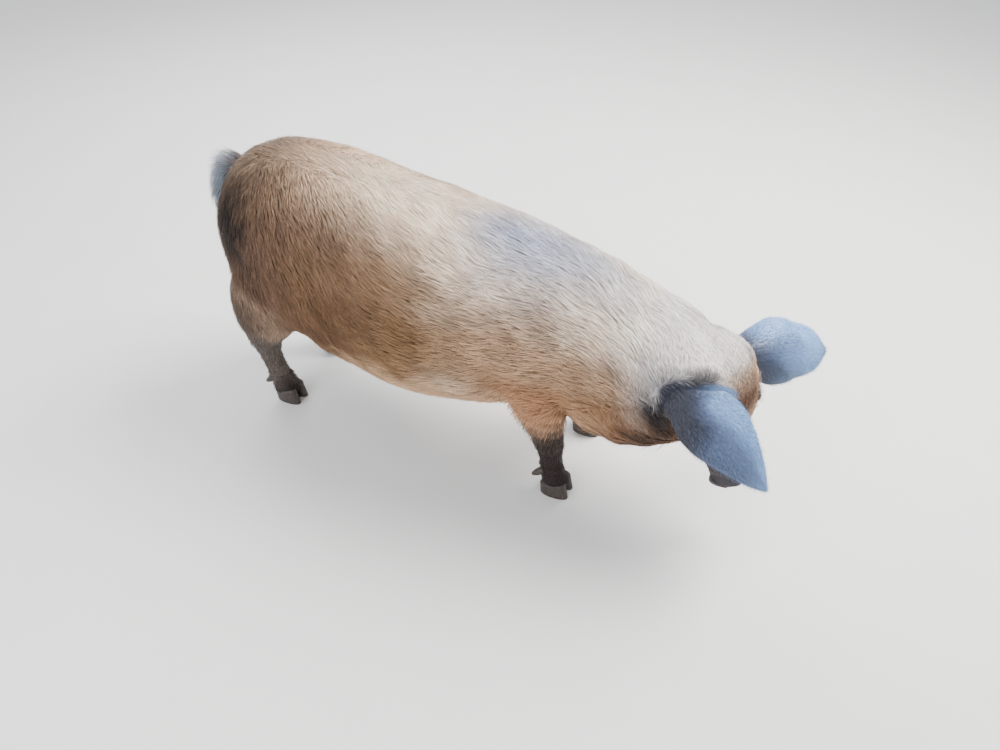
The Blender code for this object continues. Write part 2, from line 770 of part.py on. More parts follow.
def dewclaw(name, foot_x, y, out_sign):
    """A small blunt horn behind the foot."""
    lean = unit((DEWCLAW_LEAN[0], DEWCLAW_LEAN[1] * out_sign, DEWCLAW_LEAN[2]))
    start = Vector((foot_x + DEWCLAW_PLACE[0], y + DEWCLAW_PLACE[1] * out_sign, DEWCLAW_PLACE[2]))
    side = lean.cross(Vector((0, 0, 1))).normalized()
    rings = []
    for share, radius in zip(DEWCLAW_SHARES, DEWCLAW_RADII):
        centre = start + share * DEWCLAW_LENGTH * lean
        flat = DEWCLAW_FLATNESS * radius
        rings.append(ring(centre, side, lean.cross(side), radius, radius, flat, 2, DEWCLAW_SIDES))
    return loft(name, rings)


def leg_region(pair, side_sign):
    """Tests whether a place is near the free part of one leg."""
    low, high, roof = HIND_REGION if pair == "hind" else FORE_REGION

    def inside(place):
        return low < place.x < high and place.y * side_sign < -LEG_INNER_Y and place.z < roof

    return inside


def legs(trunk):
    """Parts the legs from the trunk and each leg at its middle joint, and shoes them with claws."""
    pieces = []
    for pair, cut, joint in (("hind", HIND_CUT, HOCK_Z), ("fore", FORE_CUT, KNEE_Z)):
        for side, sign in (("right", 1), ("left", -1)):
            name = f"leg_{pair}_{side}"
            trunk, leg = part_at(trunk, "trunk", name, cut, leg_region(pair, sign))
            upper, lower = part_at(leg, f"{name}_upper", f"{name}_lower", ((0, 0, joint), (0, 0, -1)))
            foot_x, foot_y = FOOT_X[pair], -STANCE_Y * sign
            sole_cut = ((foot_x, foot_y, HOOF_TOP), (-HOOF_SLOPE, 0, 1))
            shank = half_of(lower, f"{name}_lower_cut", sole_cut[0], sole_cut[1], True)
            bpy.data.objects.remove(lower, do_unlink=True)
            shank.name = f"{name}_lower"
            pieces += [upper, shank]
            for toe, toe_sign in (("outer", -sign), ("inner", sign)):
                pieces.append(claw(f"hoof_{pair}_{side}_{toe}", foot_x, foot_y + toe_sign * CLAW_OFFSET))
                horn = dewclaw(f"dewclaw_{pair}_{side}_{toe}", foot_x, foot_y, toe_sign)
                clear_of(horn, shank)
                pieces.append(horn)
    return trunk, pieces


def beyond(cut, place):
    """How far a place lies past a cutting plane."""
    return (Vector(place) - Vector(cut[0])).dot(unit(cut[1]))


def in_leg(place, margin):
    for pair, cut in (("hind", HIND_CUT), ("fore", FORE_CUT)):
        for sign in (1, -1):
            if leg_region(pair, sign)(place) and beyond(cut, place) > -margin:
                return True
    return False


def node_at(place, margin=0.0):
    """The name of the trunk or head node that holds a place, or None within a margin of its borders."""
    place = Vector(place)
    if in_leg(place, margin):
        return None
    for name, cut in BORDERS:
        depth = beyond(cut, place)
        if depth < -margin:
            return name
        if depth < margin:
            return None
    down = head_axes()[0]
    return "head" if (place - POLL).dot(down) < MUZZLE_FROM else None


def trunk_frame(x):
    """Centre, way ahead, side and upward axes of the trunk at a station along it."""
    table = np.array(TRUNK)
    row = [float(np.interp(x, table[:, 0], table[:, k])) for k in range(5)]
    yaw, pitch = math.radians(row[3]), math.radians(row[4])
    side = Vector((-math.sin(yaw), math.cos(yaw), 0))
    ahead = Vector((math.cos(yaw) * math.cos(pitch), math.sin(yaw) * math.cos(pitch), -math.sin(pitch)))
    return Vector(row[:3]), ahead, side, ahead.cross(side)


def lie(place, normal, node):
    """The way the coat lies: back along the trunk and drooping on its sides, steeply on the hams."""
    if node == "head":
        down, _, brow = head_axes()
        way = -down - FACE_DROOP * brow
    else:
        _, ahead, _, up = trunk_frame(place.x)
        flank = 1 - max(0.0, normal.dot(up))
        ham = flank * min(1.0, max(0.0, (HAM_FROM - place.x) / HAM_OVER))
        way = -ahead * (1 - HAM_TURN * ham) - (BACK_DROOP + FLANK_DROOP * flank + HAM_DROOP * ham) * up
    return (way - way.project(normal)).normalized()


def lock(root, normal, way, length, width, bend, tree):
    """A flat tapered lock that is rooted in a surface, bends along it and ends clear of it."""
    here, out, ahead = Vector(root), Vector(normal), Vector(way)
    rings, reached = [], 0.0
    for share, rise, breadth in LOCK:
        here, out, _, _ = tree.find_nearest(here + (share - reached) * length * ahead)
        turn = Matrix.Rotation((share - reached) * bend, 3, out)
        ahead = turn @ (ahead - ahead.project(out)).normalized()
        reached = share
        if share == 1:
            rings.append([here + rise * out])
            continue
        side = 0.5 * breadth * width * out.cross(ahead)
        edges = []
        for sign in (1, -1):
            edge, edge_out, _, _ = tree.find_nearest(here + sign * side)
            edges.append(edge + rise * edge_out)
        rings.append(edges + [here + (rise + LOCK_RIDGE * (1 - 0.5 * share)) * out])
    return rings


def lock_object(rings):
    """The closed mesh of a lock: three-sided, with one corner at its tip."""
    vertices = [tuple(point) for points in rings for point in points]
    last = len(vertices) - 1
    faces = [(2, 1, 0)]
    for k in range(len(rings) - 2):
        for i in range(3):
            j = (i + 1) % 3
            faces.append((3 * k + i, 3 * k + j, 3 * k + 3 + j))
            faces.append((3 * k + i, 3 * k + 3 + j, 3 * k + 3 + i))
    base = 3 * (len(rings) - 2)
    for i in range(3):
        faces.append((base + i, base + (i + 1) % 3, last))
    made = new_object("lock", vertices, faces)
    point_outwards(made)
    return made


def spoke(turn, side, up):
    """The way out from an axis at an angle in degrees, from its side up to its top."""
    angle = math.radians(turn)
    return math.cos(angle) * side + math.sin(angle) * up


def root_rays():
    """Lines out through the skin that are tried as roots of locks, from the head back to the rump."""
    rays = []
    turns = [90 + sign * turn for turn in range(0, 91 - ROOTS_LOWEST, ROOT_TURN) for sign in (1, -1)]
    _, left, brow = head_axes()
    for along in FACE_ROOTS:
        for turn in turns:
            rays.append((head_point(along, 0, 0), spoke(turn, left, brow)))
    for x in np.arange(ROOTS_FROM, ROOTS_TO, -ROOT_STEP).tolist():
        centre, _, side, up = trunk_frame(x)
        for turn in turns:
            rays.append((centre, spoke(turn, side, up)))
    behind, above = Vector((-1, 0, 0)), Vector((0, 0, 1))
    for tilt in range(RUMP_TILTS[0], RUMP_TILTS[1], -ROOT_TURN):
        for turn in range(RUMP_TURNS[0], RUMP_TURNS[1] + 1, ROOT_TURN):
            level = spoke(turn, behind, Vector((0, 1, 0)))
            rays.append((Vector(RUMP_CENTRE), spoke(tilt, level, above)))
    for (x, y), heights in ((HAM_CENTRE, HAM_HEIGHTS), (SHOULDER_CENTRE, SHOULDER_HEIGHTS)):
        for z, sign in [(z, sign) for z in heights for sign in (1, -1)]:
            for turn in range(SHOULDER_TURNS[0], SHOULDER_TURNS[1], 2 * ROOT_TURN):
                rays.append((Vector((x, -sign * y, z)), spoke(turn, Vector((0, -sign, 0)), behind)))
    return rays


def is_crowded(place, taken):
    """Whether a lock rooted here would stand too close to one already rooted."""
    for other, back in taken:
        apart = place - other
        along = apart.dot(back)
        across = (apart - along * back).length
        if (along / LOCK_ROW) ** 2 + (across / LOCK_COLUMN) ** 2 < 1:
            return True
    return False


def coat(tree, keep_clear):
    """All locks of trunk, neck and head, by the name of the node that each grows from."""
    chance = random.Random(LOCK_SEED)
    grown = {}
    taken = []
    for start, out in root_rays():
        place, normal, _, _ = tree.ray_cast(start, out)
        node = node_at(place, ROOT_MARGIN)
        if node is None or is_crowded(place, taken):
            continue
        back = lie(place, normal, node)
        spin = math.radians(chance.uniform(-LOCK_SPREAD, LOCK_SPREAD))
        bend = math.radians(chance.uniform(-2, 2) * LOCK_BEND)
        stretch = chance.uniform(*LOCK_STRETCH)
        way = Matrix.Rotation(spin, 3, normal) @ back
        for shrink in LOCK_SHRINKS:
            width = LOCK_WIDTH * (1 + shrink) / 2
            rings = lock(place, normal, way, LOCK_LENGTH * stretch * shrink, width, bend, tree)
            points = [point for points in rings for point in points]
            points += [(one + other) / 2 for one, other in zip(points, points[3:])]
            inside = all(node_at(point, LOCK_MARGIN) == node for point in points)
            nearest = min(other.find_nearest(point)[3] for other in keep_clear for point in points)
            if inside and nearest > LOCK_CLEARANCE:
                grown.setdefault(node, []).append(lock_object(rings))
                taken.append((place, back))
                break
    return grown


def tail_tuft():
    """Straight locks that hang and splay from the end of the tail."""
    locks = []
    for k in range(TUFT_LOCKS):
        turn = 2 * math.pi * k / TUFT_LOCKS
        out = Vector((math.cos(turn), math.sin(turn), 0))
        x, y, z, radius = TAIL[TUFT_ROOTS[k % len(TUFT_ROOTS)]]
        start = Vector((x, y, z)) + 0.3 * radius * out
        side = Vector((-out.y, out.x, 0))
        rings = []
        for share, _, breadth in LOCK:
            here = start + share * TUFT_LENGTH * (Vector((0, 0, -1)) + TUFT_SPLAY * out)
            if share == 1:
                rings.append([here])
                continue
            half = 0.5 * breadth * TUFT_WIDTH
            rings.append([here - half * side, here + half * side, here + 0.3 * half * (1 + breadth) * out])
        locks.append(lock_object(rings))
    return locks


def features(head):
    """Lids, eyes, the line of the mouth and the nostrils."""
    eyes = []
    for side, sign in (("right", -1), ("left", 1)):
        centre, way = eye_place(head, sign)
        combine(head, [lid_ring(sign, centre, way)], "UNION")
        combine(head, [ball("socket", centre, EYE_RADIUS + 2 * GAP)], "DIFFERENCE")
        eyes.append(ball(f"eye_{side}", centre, EYE_RADIUS))
    combine(head, [mouth_slit()], "DIFFERENCE")
    snout_cut = (head_point(SNOUT_CUT, 0, 0), head_axes()[0])
    head, snout = part_at(head, "head", "snout", snout_cut)
    combine(snout, [nostril_bore(1), nostril_bore(-1)], "DIFFERENCE")
    return head, snout, eyes


def flesh():
    pieces = [trunk_loft(), jowl_loft(), face_loft("head_loft", HEAD), face_loft("jaw_loft", JAW)]
    for side_sign in (1, -1):
        pieces.append(leg_loft("hind_leg", HIND_LEG, side_sign))
        pieces.append(leg_loft("fore_leg", FORE_LEG, side_sign))
    return fuse("body", pieces, FLESH_VOXEL, SMOOTH_PASSES, FLESH_TRIANGLES)


def coloured(piece):
    """Gives a piece its own material from the first part of its name that has a colour."""
    for start, colour, roughness in COLOURS:
        if piece.name.startswith(start):
            break
    material = bpy.data.materials.new(piece.name)
    material.use_nodes = True
    shader = material.node_tree.nodes["Principled BSDF"]
    shader.inputs["Base Color"].default_value = (*colour, 1)
    shader.inputs["Roughness"].default_value = roughness
    shader.inputs["Metallic"].default_value = 0
    piece.data.materials.clear()
    piece.data.materials.append(material)


def place_on_floor(pieces):
    """Moves the whole so that the middle of its underside is at the origin, under one empty."""
    places = np.vstack([np.array([tuple(vert.co) for vert in piece.data.vertices]) for piece in pieces])
    low, high = places.min(axis=0), places.max(axis=0)
    shift = Vector((-(low[0] + high[0]) / 2, -(low[1] + high[1]) / 2, -low[2]))
    stand = bpy.data.objects.new("pig", None)
    bpy.context.scene.collection.objects.link(stand)
    for piece in pieces:
        spots = np.array([tuple(vert.co) for vert in piece.data.vertices])
        middle = Vector(((spots.min(axis=0) + spots.max(axis=0)) / 2).tolist())
        piece.data.transform(Matrix.Translation(-middle))
        piece.location = middle + shift
        piece.parent = stand
        piece.data.shade_smooth()
        piece.data.set_sharp_from_angle(angle=math.radians(40))


def main():
    clear_scene()
    body = flesh()
    tail = tube("tail", TAIL, TAIL_SIDES, 2)
    combine(tail, tail_tuft(), "UNION", "MANIFOLD")
    grown = [ear("right"), ear("left"), tail]
    for piece in grown:
        clear_of(piece, body)
    tree = BVHTree.FromObject(body, bpy.context.evaluated_depsgraph_get())
    keep_clear = [BVHTree.FromObject(piece, bpy.context.evaluated_depsgraph_get()) for piece in grown]
    locks = coat(tree, keep_clear)
    trunk, pieces = legs(body)
    torso_rear, rest = part_at(trunk, "torso_rear", "rest", REAR_CUT)
    torso_middle, rest = part_at(rest, "torso_middle", "rest", SHOULDER_CUT)
    torso_front, rest = part_at(rest, "torso_front", "rest", NECK_CUT)
    neck, head = part_at(rest, "neck", "head_whole", HEAD_CUT)
    for piece in (torso_rear, torso_middle, torso_front, neck, head):
        combine(piece, locks.get(piece.name.split("_whole")[0], []), "UNION", "MANIFOLD")
    head, snout, eyes = features(head)
    pieces += [torso_rear, torso_middle, torso_front, neck, head, snout] + eyes + grown
    for piece in pieces:
        split_to_triangles(piece)
        coloured(piece)
    place_on_floor(pieces)


if __name__ == "__main__":
    main()
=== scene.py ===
"""The looks of a life-size mangalica pig, standing with its head lowered and turned to its right.

Every shape is worked out in the pig's own directions: +X ahead, +Y to its left, +Z up, the floor at 0.
One skin holds all the flesh. Over it lie tufts of straight bristly hair, each a thin closed blade.
"""

import math

import bpy
import numpy as np
from bpy.props import FloatProperty, FloatVectorProperty, IntProperty, PointerProperty
from mathutils import Matrix, Vector


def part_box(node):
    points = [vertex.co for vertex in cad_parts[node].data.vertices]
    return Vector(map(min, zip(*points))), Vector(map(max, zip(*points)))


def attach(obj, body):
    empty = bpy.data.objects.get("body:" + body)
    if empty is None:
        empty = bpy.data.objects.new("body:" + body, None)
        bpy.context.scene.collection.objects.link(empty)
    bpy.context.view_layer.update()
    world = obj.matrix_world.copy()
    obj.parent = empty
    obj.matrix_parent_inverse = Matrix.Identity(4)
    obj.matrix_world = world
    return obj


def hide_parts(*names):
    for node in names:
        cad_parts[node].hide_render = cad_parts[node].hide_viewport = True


bl_info = {
    "name": "Mangalica pig",
    "version": (1, 0, 0),
    "blender": (4, 5, 0),
    "location": "View3D > Sidebar > Pig",
    "description": "Builds a life-size mangalica pig with its coat, hooves and eyes",
    "category": "Add Mesh",
}

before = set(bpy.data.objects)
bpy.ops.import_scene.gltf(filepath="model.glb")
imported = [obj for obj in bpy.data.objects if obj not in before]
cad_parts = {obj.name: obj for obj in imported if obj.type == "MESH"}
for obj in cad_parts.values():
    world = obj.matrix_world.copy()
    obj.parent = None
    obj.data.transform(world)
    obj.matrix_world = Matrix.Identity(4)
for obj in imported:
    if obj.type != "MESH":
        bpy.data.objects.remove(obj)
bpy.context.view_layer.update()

# The gap that parts the pieces of the frame, and where the rear of the trunk is parted from its middle.
GAP = 0.0003
REAR_CUT_X = -0.210

# The head: where its long axis starts under the poll, how it is turned and tilted.
POLL = np.array([0.672, -0.024, 0.455])
HEAD_YAW = math.radians(-28)
HEAD_PITCH = math.radians(69)

# Where the feet stand, and the slanting line where the horn of a hoof starts.
FOOT_X = {"hind": -0.387, "fore": 0.390}
STANCE_Y = 0.112
HOOF_TOP = 0.042
HOOF_SLOPE = 0.22

# A claw of a hoof: its distance from the middle of the foot, its half width, reach ahead and reach behind
# at sole and top, its bevel, its growth rings and their height, the lip under its top and the gap over it.
# A dewclaw: place behind the foot, way it points, length, radii at shares of it, flatness, growth rings,
# their height, and how blunt its tip is.
CLAW_OFFSET = 0.0168
CLAW_SOLE = (0.0150, 0.043, 0.028)
CLAW_TOP = (0.0155, 0.033, 0.030)
CLAW_BEVEL = 0.0015
CLAW_RINGS = 9
CLAW_RING = 0.00035
CLAW_LIP = 0.0004
CLAW_GAP = 0.0004
DEWCLAW_PLACE = (-0.022, 0.018, 0.082)
DEWCLAW_LEAN = (-0.75, 0.22, -0.62)
DEWCLAW_LENGTH = 0.036
DEWCLAW_SHARES = (0, 0.6, 1)
DEWCLAW_RADII = (0.0105, 0.0095, 0.0045)
DEWCLAW_FLATNESS = 0.75
DEWCLAW_RINGS = 6
DEWCLAW_RING = 0.03
DEWCLAW_BLUNTING = 0.35

# Planes that part trunk from neck and neck from head: a place and the way ahead.
NECK_CUT = (np.array([0.445, 0.0, 0.43]), np.array([0.996, 0.0, -0.087]))
HEAD_CUT = (np.array([0.555, -0.03, 0.37]), np.array([0.858, -0.382, -0.342]))

# How far the skin lies inside the outline of trunk, head, legs and tail, which the coat fills.
DEPTH_TRUNK = 0.0135
DEPTH_HEAD = 0.0050
DEPTH_LEG = 0.0035
DEPTH_TAIL = 0.0015

# Stations along the trunk and neck, from buttocks to nape:
# x, y, z of the centre, yaw, pitch down, half width, height above, depth below, squareness.
TRUNK = [
    (-0.484, 0, 0.478, 0, 0, 0.060, 0.070, 0.070, 2.0),
    (-0.466, 0, 0.476, 0, 0, 0.124, 0.155, 0.145, 2.1),
    (-0.420, 0, 0.472, 0, 0, 0.170, 0.206, 0.180, 2.2),
    (-0.350, 0, 0.462, 0, 0, 0.200, 0.238, 0.198, 2.2),
    (-0.240, 0, 0.446, 0, 0, 0.219, 0.258, 0.218, 2.15),
    (-0.100, 0, 0.427, 0, 0, 0.230, 0.249, 0.240, 2.1),
    (0.040, 0, 0.415, 0, 0, 0.233, 0.240, 0.247, 2.1),
    (0.180, -0.006, 0.420, -1, 0, 0.211, 0.222, 0.228, 2.1),
    (0.300, -0.016, 0.422, -3, 4, 0.186, 0.206, 0.200, 2.1),
    (0.410, -0.020, 0.418, -6, 12, 0.168, 0.184, 0.190, 2.1),
    (0.520, -0.030, 0.402, -11, 25, 0.148, 0.165, 0.185, 2.05),
    (0.605, -0.036, 0.386, -18, 40, 0.130, 0.157, 0.165, 2.05),
    (0.650, -0.040, 0.362, -22, 52, 0.112, 0.134, 0.145, 2.1),
    (0.672, -0.042, 0.345, -24, 58, 0.090, 0.100, 0.120, 2.1),
]

# Stations along the jowl that hangs between throat and jaw: x, y, z, half width, height, depth.
JOWL = [
    (0.380, -0.016, 0.350, 0.080, 0.090, 0.080),
    (0.450, -0.024, 0.340, 0.118, 0.110, 0.112),
    (0.520, -0.034, 0.330, 0.138, 0.110, 0.116),
    (0.580, -0.044, 0.328, 0.140, 0.105, 0.112),
    (0.635, -0.055, 0.338, 0.130, 0.095, 0.092),
    (0.680, -0.065, 0.352, 0.102, 0.070, 0.066),
    (0.705, -0.070, 0.362, 0.060, 0.040, 0.038),
]

# Stations down the head: distance from the poll, offset to the brow side, half width,
# height to the brow line, depth to the jaw line, squareness.
HEAD = [
    (-0.050, -0.010, 0.045, 0.040, 0.060, 2.0),
    (-0.025, 0.000, 0.070, 0.054, 0.090, 2.1),
    (0.015, 0.000, 0.092, 0.073, 0.118, 2.2),
    (0.060, 0.000, 0.099, 0.080, 0.126, 2.2),
    (0.100, 0.000, 0.096, 0.073, 0.110, 2.2),
    (0.140, 0.000, 0.080, 0.060, 0.078, 2.2),
    (0.175, 0.000, 0.062, 0.052, 0.054, 2.2),
    (0.210, 0.002, 0.049, 0.048, 0.040, 2.2),
    (0.245, 0.004, 0.042, 0.046, 0.034, 2.2),
    (0.270, 0.006, 0.042, 0.046, 0.033, 2.3),
    (0.284, 0.007, 0.043, 0.046, 0.033, 2.4),
]

# Stations down the lower jaw, as for the head.
JAW = [
    (0.020, -0.070, 0.060, 0.040, 0.050, 2.0),
    (0.070, -0.078, 0.068, 0.034, 0.052, 2.1),
    (0.120, -0.074, 0.058, 0.028, 0.044, 2.1),
    (0.165, -0.062, 0.045, 0.020, 0.032, 2.1),
    (0.205, -0.052, 0.034, 0.015, 0.021, 2.1),
    (0.232, -0.046, 0.026, 0.011, 0.015, 2.1),
    (0.242, -0.044, 0.018, 0.007, 0.010, 2.0),
]

# Stations down a right leg: x, y, z, half width, reach forwards, reach back.
HIND_LEG = [
    (-0.330, -0.070, 0.570, 0.060, 0.080, 0.060),
    (-0.340, -0.096, 0.490, 0.088, 0.130, 0.078),
    (-0.352, -0.116, 0.400, 0.088, 0.136, 0.092),
    (-0.368, -0.128, 0.315, 0.071, 0.104, 0.082),
    (-0.392, -0.128, 0.252, 0.050, 0.064, 0.063),
    (-0.409, -0.123, 0.205, 0.036, 0.043, 0.050),
    (-0.412, -0.118, 0.155, 0.027, 0.029, 0.034),
    (-0.407, -0.115, 0.105, 0.026, 0.029, 0.030),
    (-0.396, -0.113, 0.066, 0.031, 0.034, 0.034),
    (-0.387, -0.112, 0.036, 0.035, 0.040, 0.035),
]
FORE_LEG = [
    (0.300, -0.075, 0.520, 0.060, 0.070, 0.080),
    (0.315, -0.098, 0.440, 0.080, 0.100, 0.115),
    (0.330, -0.118, 0.350, 0.072, 0.088, 0.098),
    (0.348, -0.130, 0.275, 0.052, 0.062, 0.065),
    (0.363, -0.129, 0.218, 0.037, 0.043, 0.044),
    (0.374, -0.125, 0.172, 0.034, 0.037, 0.037),
    (0.378, -0.120, 0.125, 0.027, 0.029, 0.030),
    (0.380, -0.116, 0.085, 0.027, 0.030, 0.031),
    (0.386, -0.114, 0.055, 0.032, 0.035, 0.034),
    (0.390, -0.112, 0.036, 0.035, 0.040, 0.035),
]

# Stations down the tail: x, y, z, radius.
TAIL = [
    (-0.440, 0.000, 0.600, 0.026),
    (-0.478, -0.003, 0.622, 0.023),
    (-0.503, -0.010, 0.614, 0.019),
    (-0.519, -0.021, 0.585, 0.016),
    (-0.522, -0.031, 0.548, 0.0125),
    (-0.517, -0.038, 0.515, 0.0095),
    (-0.512, -0.041, 0.490, 0.0060),
]

# An ear as a leaf: share of its length, half width, depth of the cup.
EAR = [
    (0.00, 0.040, 0.044),
    (0.12, 0.055, 0.046),
    (0.30, 0.073, 0.036),
    (0.50, 0.068, 0.024),
    (0.70, 0.048, 0.013),
    (0.85, 0.030, 0.007),
    (0.95, 0.014, 0.003),
    (1.00, 0.004, 0.000),
]
EAR_THICKNESS = 0.0095
EAR_EDGE = 0.0032
EAR_ROOT_DEPTH = 0.16
EAR_ROOT_NARROWING = 0.6
EAR_THINNING = 0.45
EAR_TWIST_FROM = 0.3
EAR_WAVE = 0.012
EAR_WAVE_TURNS = 31
EAR_RIDGE = 0.0022
EAR_RIDGES = (-0.52, -0.12, 0.34)
EAR_FLUTE = 0.0009
EAR_FLUTES = 8
EAR_ROLL = 0.0010
EAR_ROWS = 46
EAR_COLUMNS = 56
# How much painted cool light pales each ear's hide, how much fuller it grows towards the tip, how deep its
# root's cup is, and how much dark bristle and painted shade lies round its root.
EAR_PALENESS = {"right": 0.20, "left": 0.9}
EAR_FULLNESS = {"right": 0.0, "left": 0.45}
EAR_ROOT_CUP = {"right": 0.30, "left": 1.0}
EAR_ROOT_DARK = {"right": 1.0, "left": 0.25}

# The bent line on the head that a left ear grows from, in the head's directions.
EAR_ROOT_LINE = [
    (0.006, 0.070, 0.046),
    (0.004, 0.102, 0.024),
    (0.035, 0.124, 0.004),
    (0.066, 0.136, -0.022),
]

# Each ear: root in the head's directions, tip, way it faces, arch, sideways bow, twist, size.
EARS = {
    "right": ((0.004, -0.118, 0.015), (0.845, -0.163, 0.290), (0.01, -0.69, 0.72), 0.026, 0.008, -10, 0.92),
    "left": ((0.024, 0.098, 0.016), (0.886, 0.222, 0.364), (0.66, -0.38, 0.60), 0.020, 0.004, 0, 0.98),
}

# Dark hair and the ear's painted shadow in the folds under an ear: place down the head, out to the side and
# towards the brow, reach, share of the paint.
JOWL_FOLDS = [(0.108, 0.132, -0.036, 0.030, 0.94), (0.125, 0.157, -0.047, 0.026, 0.75)]

# The mouth: how far down the head its corner and its front lie, their offsets towards the brow,
# and how wide the slit is at the corner and at the front.
MOUTH_CORNER = (0.148, -0.046, 0.0008)
MOUTH_FRONT = (0.262, -0.031, 0.0026)
MOUTH_HALF_WIDTH = 0.095
MOUTH_SAG = 0.006

# A nostril in the snout's disc: place to the side and towards the brow, radii to the side and upwards,
# reach behind the disc and ahead of it, and how much it slants towards the middle.
NOSTRIL_PLACE = (0.0165, 0.012)
NOSTRIL_RADII = (0.0062, 0.0088)
NOSTRIL_DEPTH = 0.014
NOSTRIL_REACH = 0.020
NOSTRIL_SLANT = 0.25

# The eyes: their way out along the head's axes. Their lids: how far out of the eye's middle the rim lies,
# the half length and height of its opening, its thickness, how much further it stands out, how much it falls
# back at the corners, and its width and height as shares of the thickness: all round, more on top, and less
# at the corners.
EYE_TOWARDS = (0.10, 0.86, 0.50)
EYE_SUNK = 0.0075
LID_HALF_LENGTH = 0.0152
LID_HALF_HEIGHT = 0.0092
LID_THICKNESS = 0.0032
LID_PROUD = 0.0010
LID_DIP = 0.0030
LID_SHARES = [(0.85, 0.30, 0.30), (0.85, 0.45, 0.35)]

# How finely each form is cut: steps between two stations, and points round a ring.
FINENESS = {"trunk": (6, 72), "jowl": (5, 48), "face": (6, 56), "leg": (5, 40), "tail": (5, 24)}

# Legs and claws are level rings of this squareness; the tail's rings start from a line across it.
LEG_SQUARENESS = 2.1
LEVEL_AXES = (np.array([0.0, 1.0, 0.0]), np.array([1.0, 0.0, 0.0]))
TAIL_ACROSS = (0.31, 0.95, 0.07)

# The skin: the passes that smooth it, its triangles, how much more of them the head keeps, how far it clears
# the eyes, and where the hides of snout and ears start.
SKIN_SMOOTHING = 6
SKIN_TRIANGLES = 165000
DETAIL_LEVELS = 4
DETAIL_LEAST = 0.15
DETAIL_PULL = 0.6
SOCKET_GAP = 0.0003
SNOUT_SKIN_FROM = 0.250
SNOUT_X = 0.66
EAR_HIDE = 0.009

# How the hair lies: its slant from straight back towards the spine, in degrees at x along the trunk; the x
# behind which it hangs down instead; how far it leans off the face's line; and its way on the legs.
LIE_SLANT = [
    (-0.47, 85),
    (-0.36, 76),
    (-0.26, 52),
    (-0.16, 40),
    (-0.05, 30),
    (0.06, 20),
    (0.17, 10),
    (0.30, -4),
    (0.50, 0),
]
LIE_TURNS = -0.06
FACE_DROOP = 0.35
LEG_LIE = (-0.30, 0.0, -1.0)

# Tufts of each region: how many per square metre, length, width, height over the skin. The trunk's row
# holds shares of the sizes that a user can change; so does any other length, where the user changes it.
TUFTS = {
    "trunk": (68000, 1.0, 1.0, 1.0),
    "leg": (50000, 0.024, 0.0015, 0.0040),
    "shank": (70000, 0.013, 0.0012, 0.0028),
    "foot": (90000, 0.009, 0.0010, 0.0024),
    "cheek": (75000, 0.024, 0.0013, 0.0052),
    "brow": (95000, 0.017, 0.0011, 0.0040),
    "muzzle": (160000, 0.007, 0.0007, 0.0018),
    "eyelid": (170000, 0.006, 0.0006, 0.0014),
    "ear": (110000, 0.011, 0.0007, 0.0012),
    "tail": (90000, 0.042, 0.0011, 0.0100),
}

# Where other tufts take over from the trunk's: their row in TUFTS, the hair whose length a user sets, and
# shares as in the markings.
TUFT_PLAN = [
    ("leg", "leg", "leg", ("z", 0.42, 0.26)),
    ("shank", "leg", "leg", ("z", 0.24, 0.12)),
    ("foot", "leg", "leg", ("z", 0.09, 0.05)),
    ("cheek", "cheek", "face"),
    ("brow", "cheek", "face", ("c", -0.03, 0.04)),
    ("muzzle", "cheek", "face", ("a", 0.12, 0.19)),
]
EAR_TUFT_PLAN = [
    ("ear", "ear", ("off", 0.020, 0.006), ("t", -0.10, 0.06)),
    ("eyelid", "cheek", ("eye", 0.032, 0.018)),
]
TAIL_TUFT_PLAN = [("tail", "tail", "tail")]

# How the crest, belly and rump differ from the rest of the trunk: more length in metres, a share more of
# width and height, and shares less of each column of TUFTS.
CREST_LONGER = 0.008
CREST_FULLER = 0.15
BELLY_LONGER = 0.005
RUMP_LESS = (0.0, 0.15, 0.075, 0.045)

# Hair that outgrows its neighbours: how many times as long, high and wide whiskers and strays are, and their
# share of the hair; how much longer and higher it is round an ear's root; and how many times as long and wide
# on an ear's edge. Hair is an ear's up to so far from its shell, and from so far along it.
WHISKER = (3.4, 6.5, 0.7)
WHISKER_SHARE = 0.022
STRAY = (1.15, 1.3, 1.0)
STRAY_SHARE = 0.06
EAR_ROOT_EXTRA = (0.6, 1.2)
EAR_EDGE_HAIR = (1.35, 0.6)
ON_EAR = 0.010
EAR_HAIR_FROM = 0.02

# How tufts differ at random: turn and roll in radians, the rest as shares. Some are paler than the rest:
# partly paler hairs, partly painted glints on the strands.
SPREAD = {
    "turn": 0.08, "roll": 0.45, "length": 0.10, "height": 0.13, "width": 0.25, "tone": 0.15, "tint": 0.02,
}
PALE_TUFTS = 0.08
PALE_BY = 0.45

# The coat's pieces: where the trunk's are parted, and which ones have hair too short to be laid along the
# skin; where snout and eyes are bare, and how far from mouth and ears hair is laid; the cells of the skin's
# map; a tuft's depth, taper, tones, rise and root; its patch on the map OFBake and its place on Strand; and
# how far aside the other ear and the other leg of a pair are laid on OFBake.
TRUNK_SPLITS = (-1.0, -0.30, -0.12, 0.08, 0.26)
SHORT_REGIONS = ("ears", "head_left", "head_right", "legs_hind", "legs_fore", "tail")
BARE_SNOUT_FROM = 0.250
BARE_ROUND_EYE = 0.0022
CLEAR_OF_MOUTH = 0.012
CLEAR_OF_EAR = 0.035
MAP_CELL = 0.008
BLADE_DEPTH = 0.7
BLADE_TAPER = (1.0, 0.75)
BLADE_TONES = (0.74, 0.96, 1.12)
BLADE_RISE = (0.75, 1.0)
ROOT_SUNK = 0.0008
PATCH = 0.003
STRAND_STEPS = (1.37, 0.61)
STRAND_SPAN = 50
OTHER_EAR = 2.4
OTHER_LEG = 7.0
MOST_TRIANGLES = 199000

# The lashes of an upper lid.
LASH_COUNT = 30
LASH_WIDTH = 0.0006

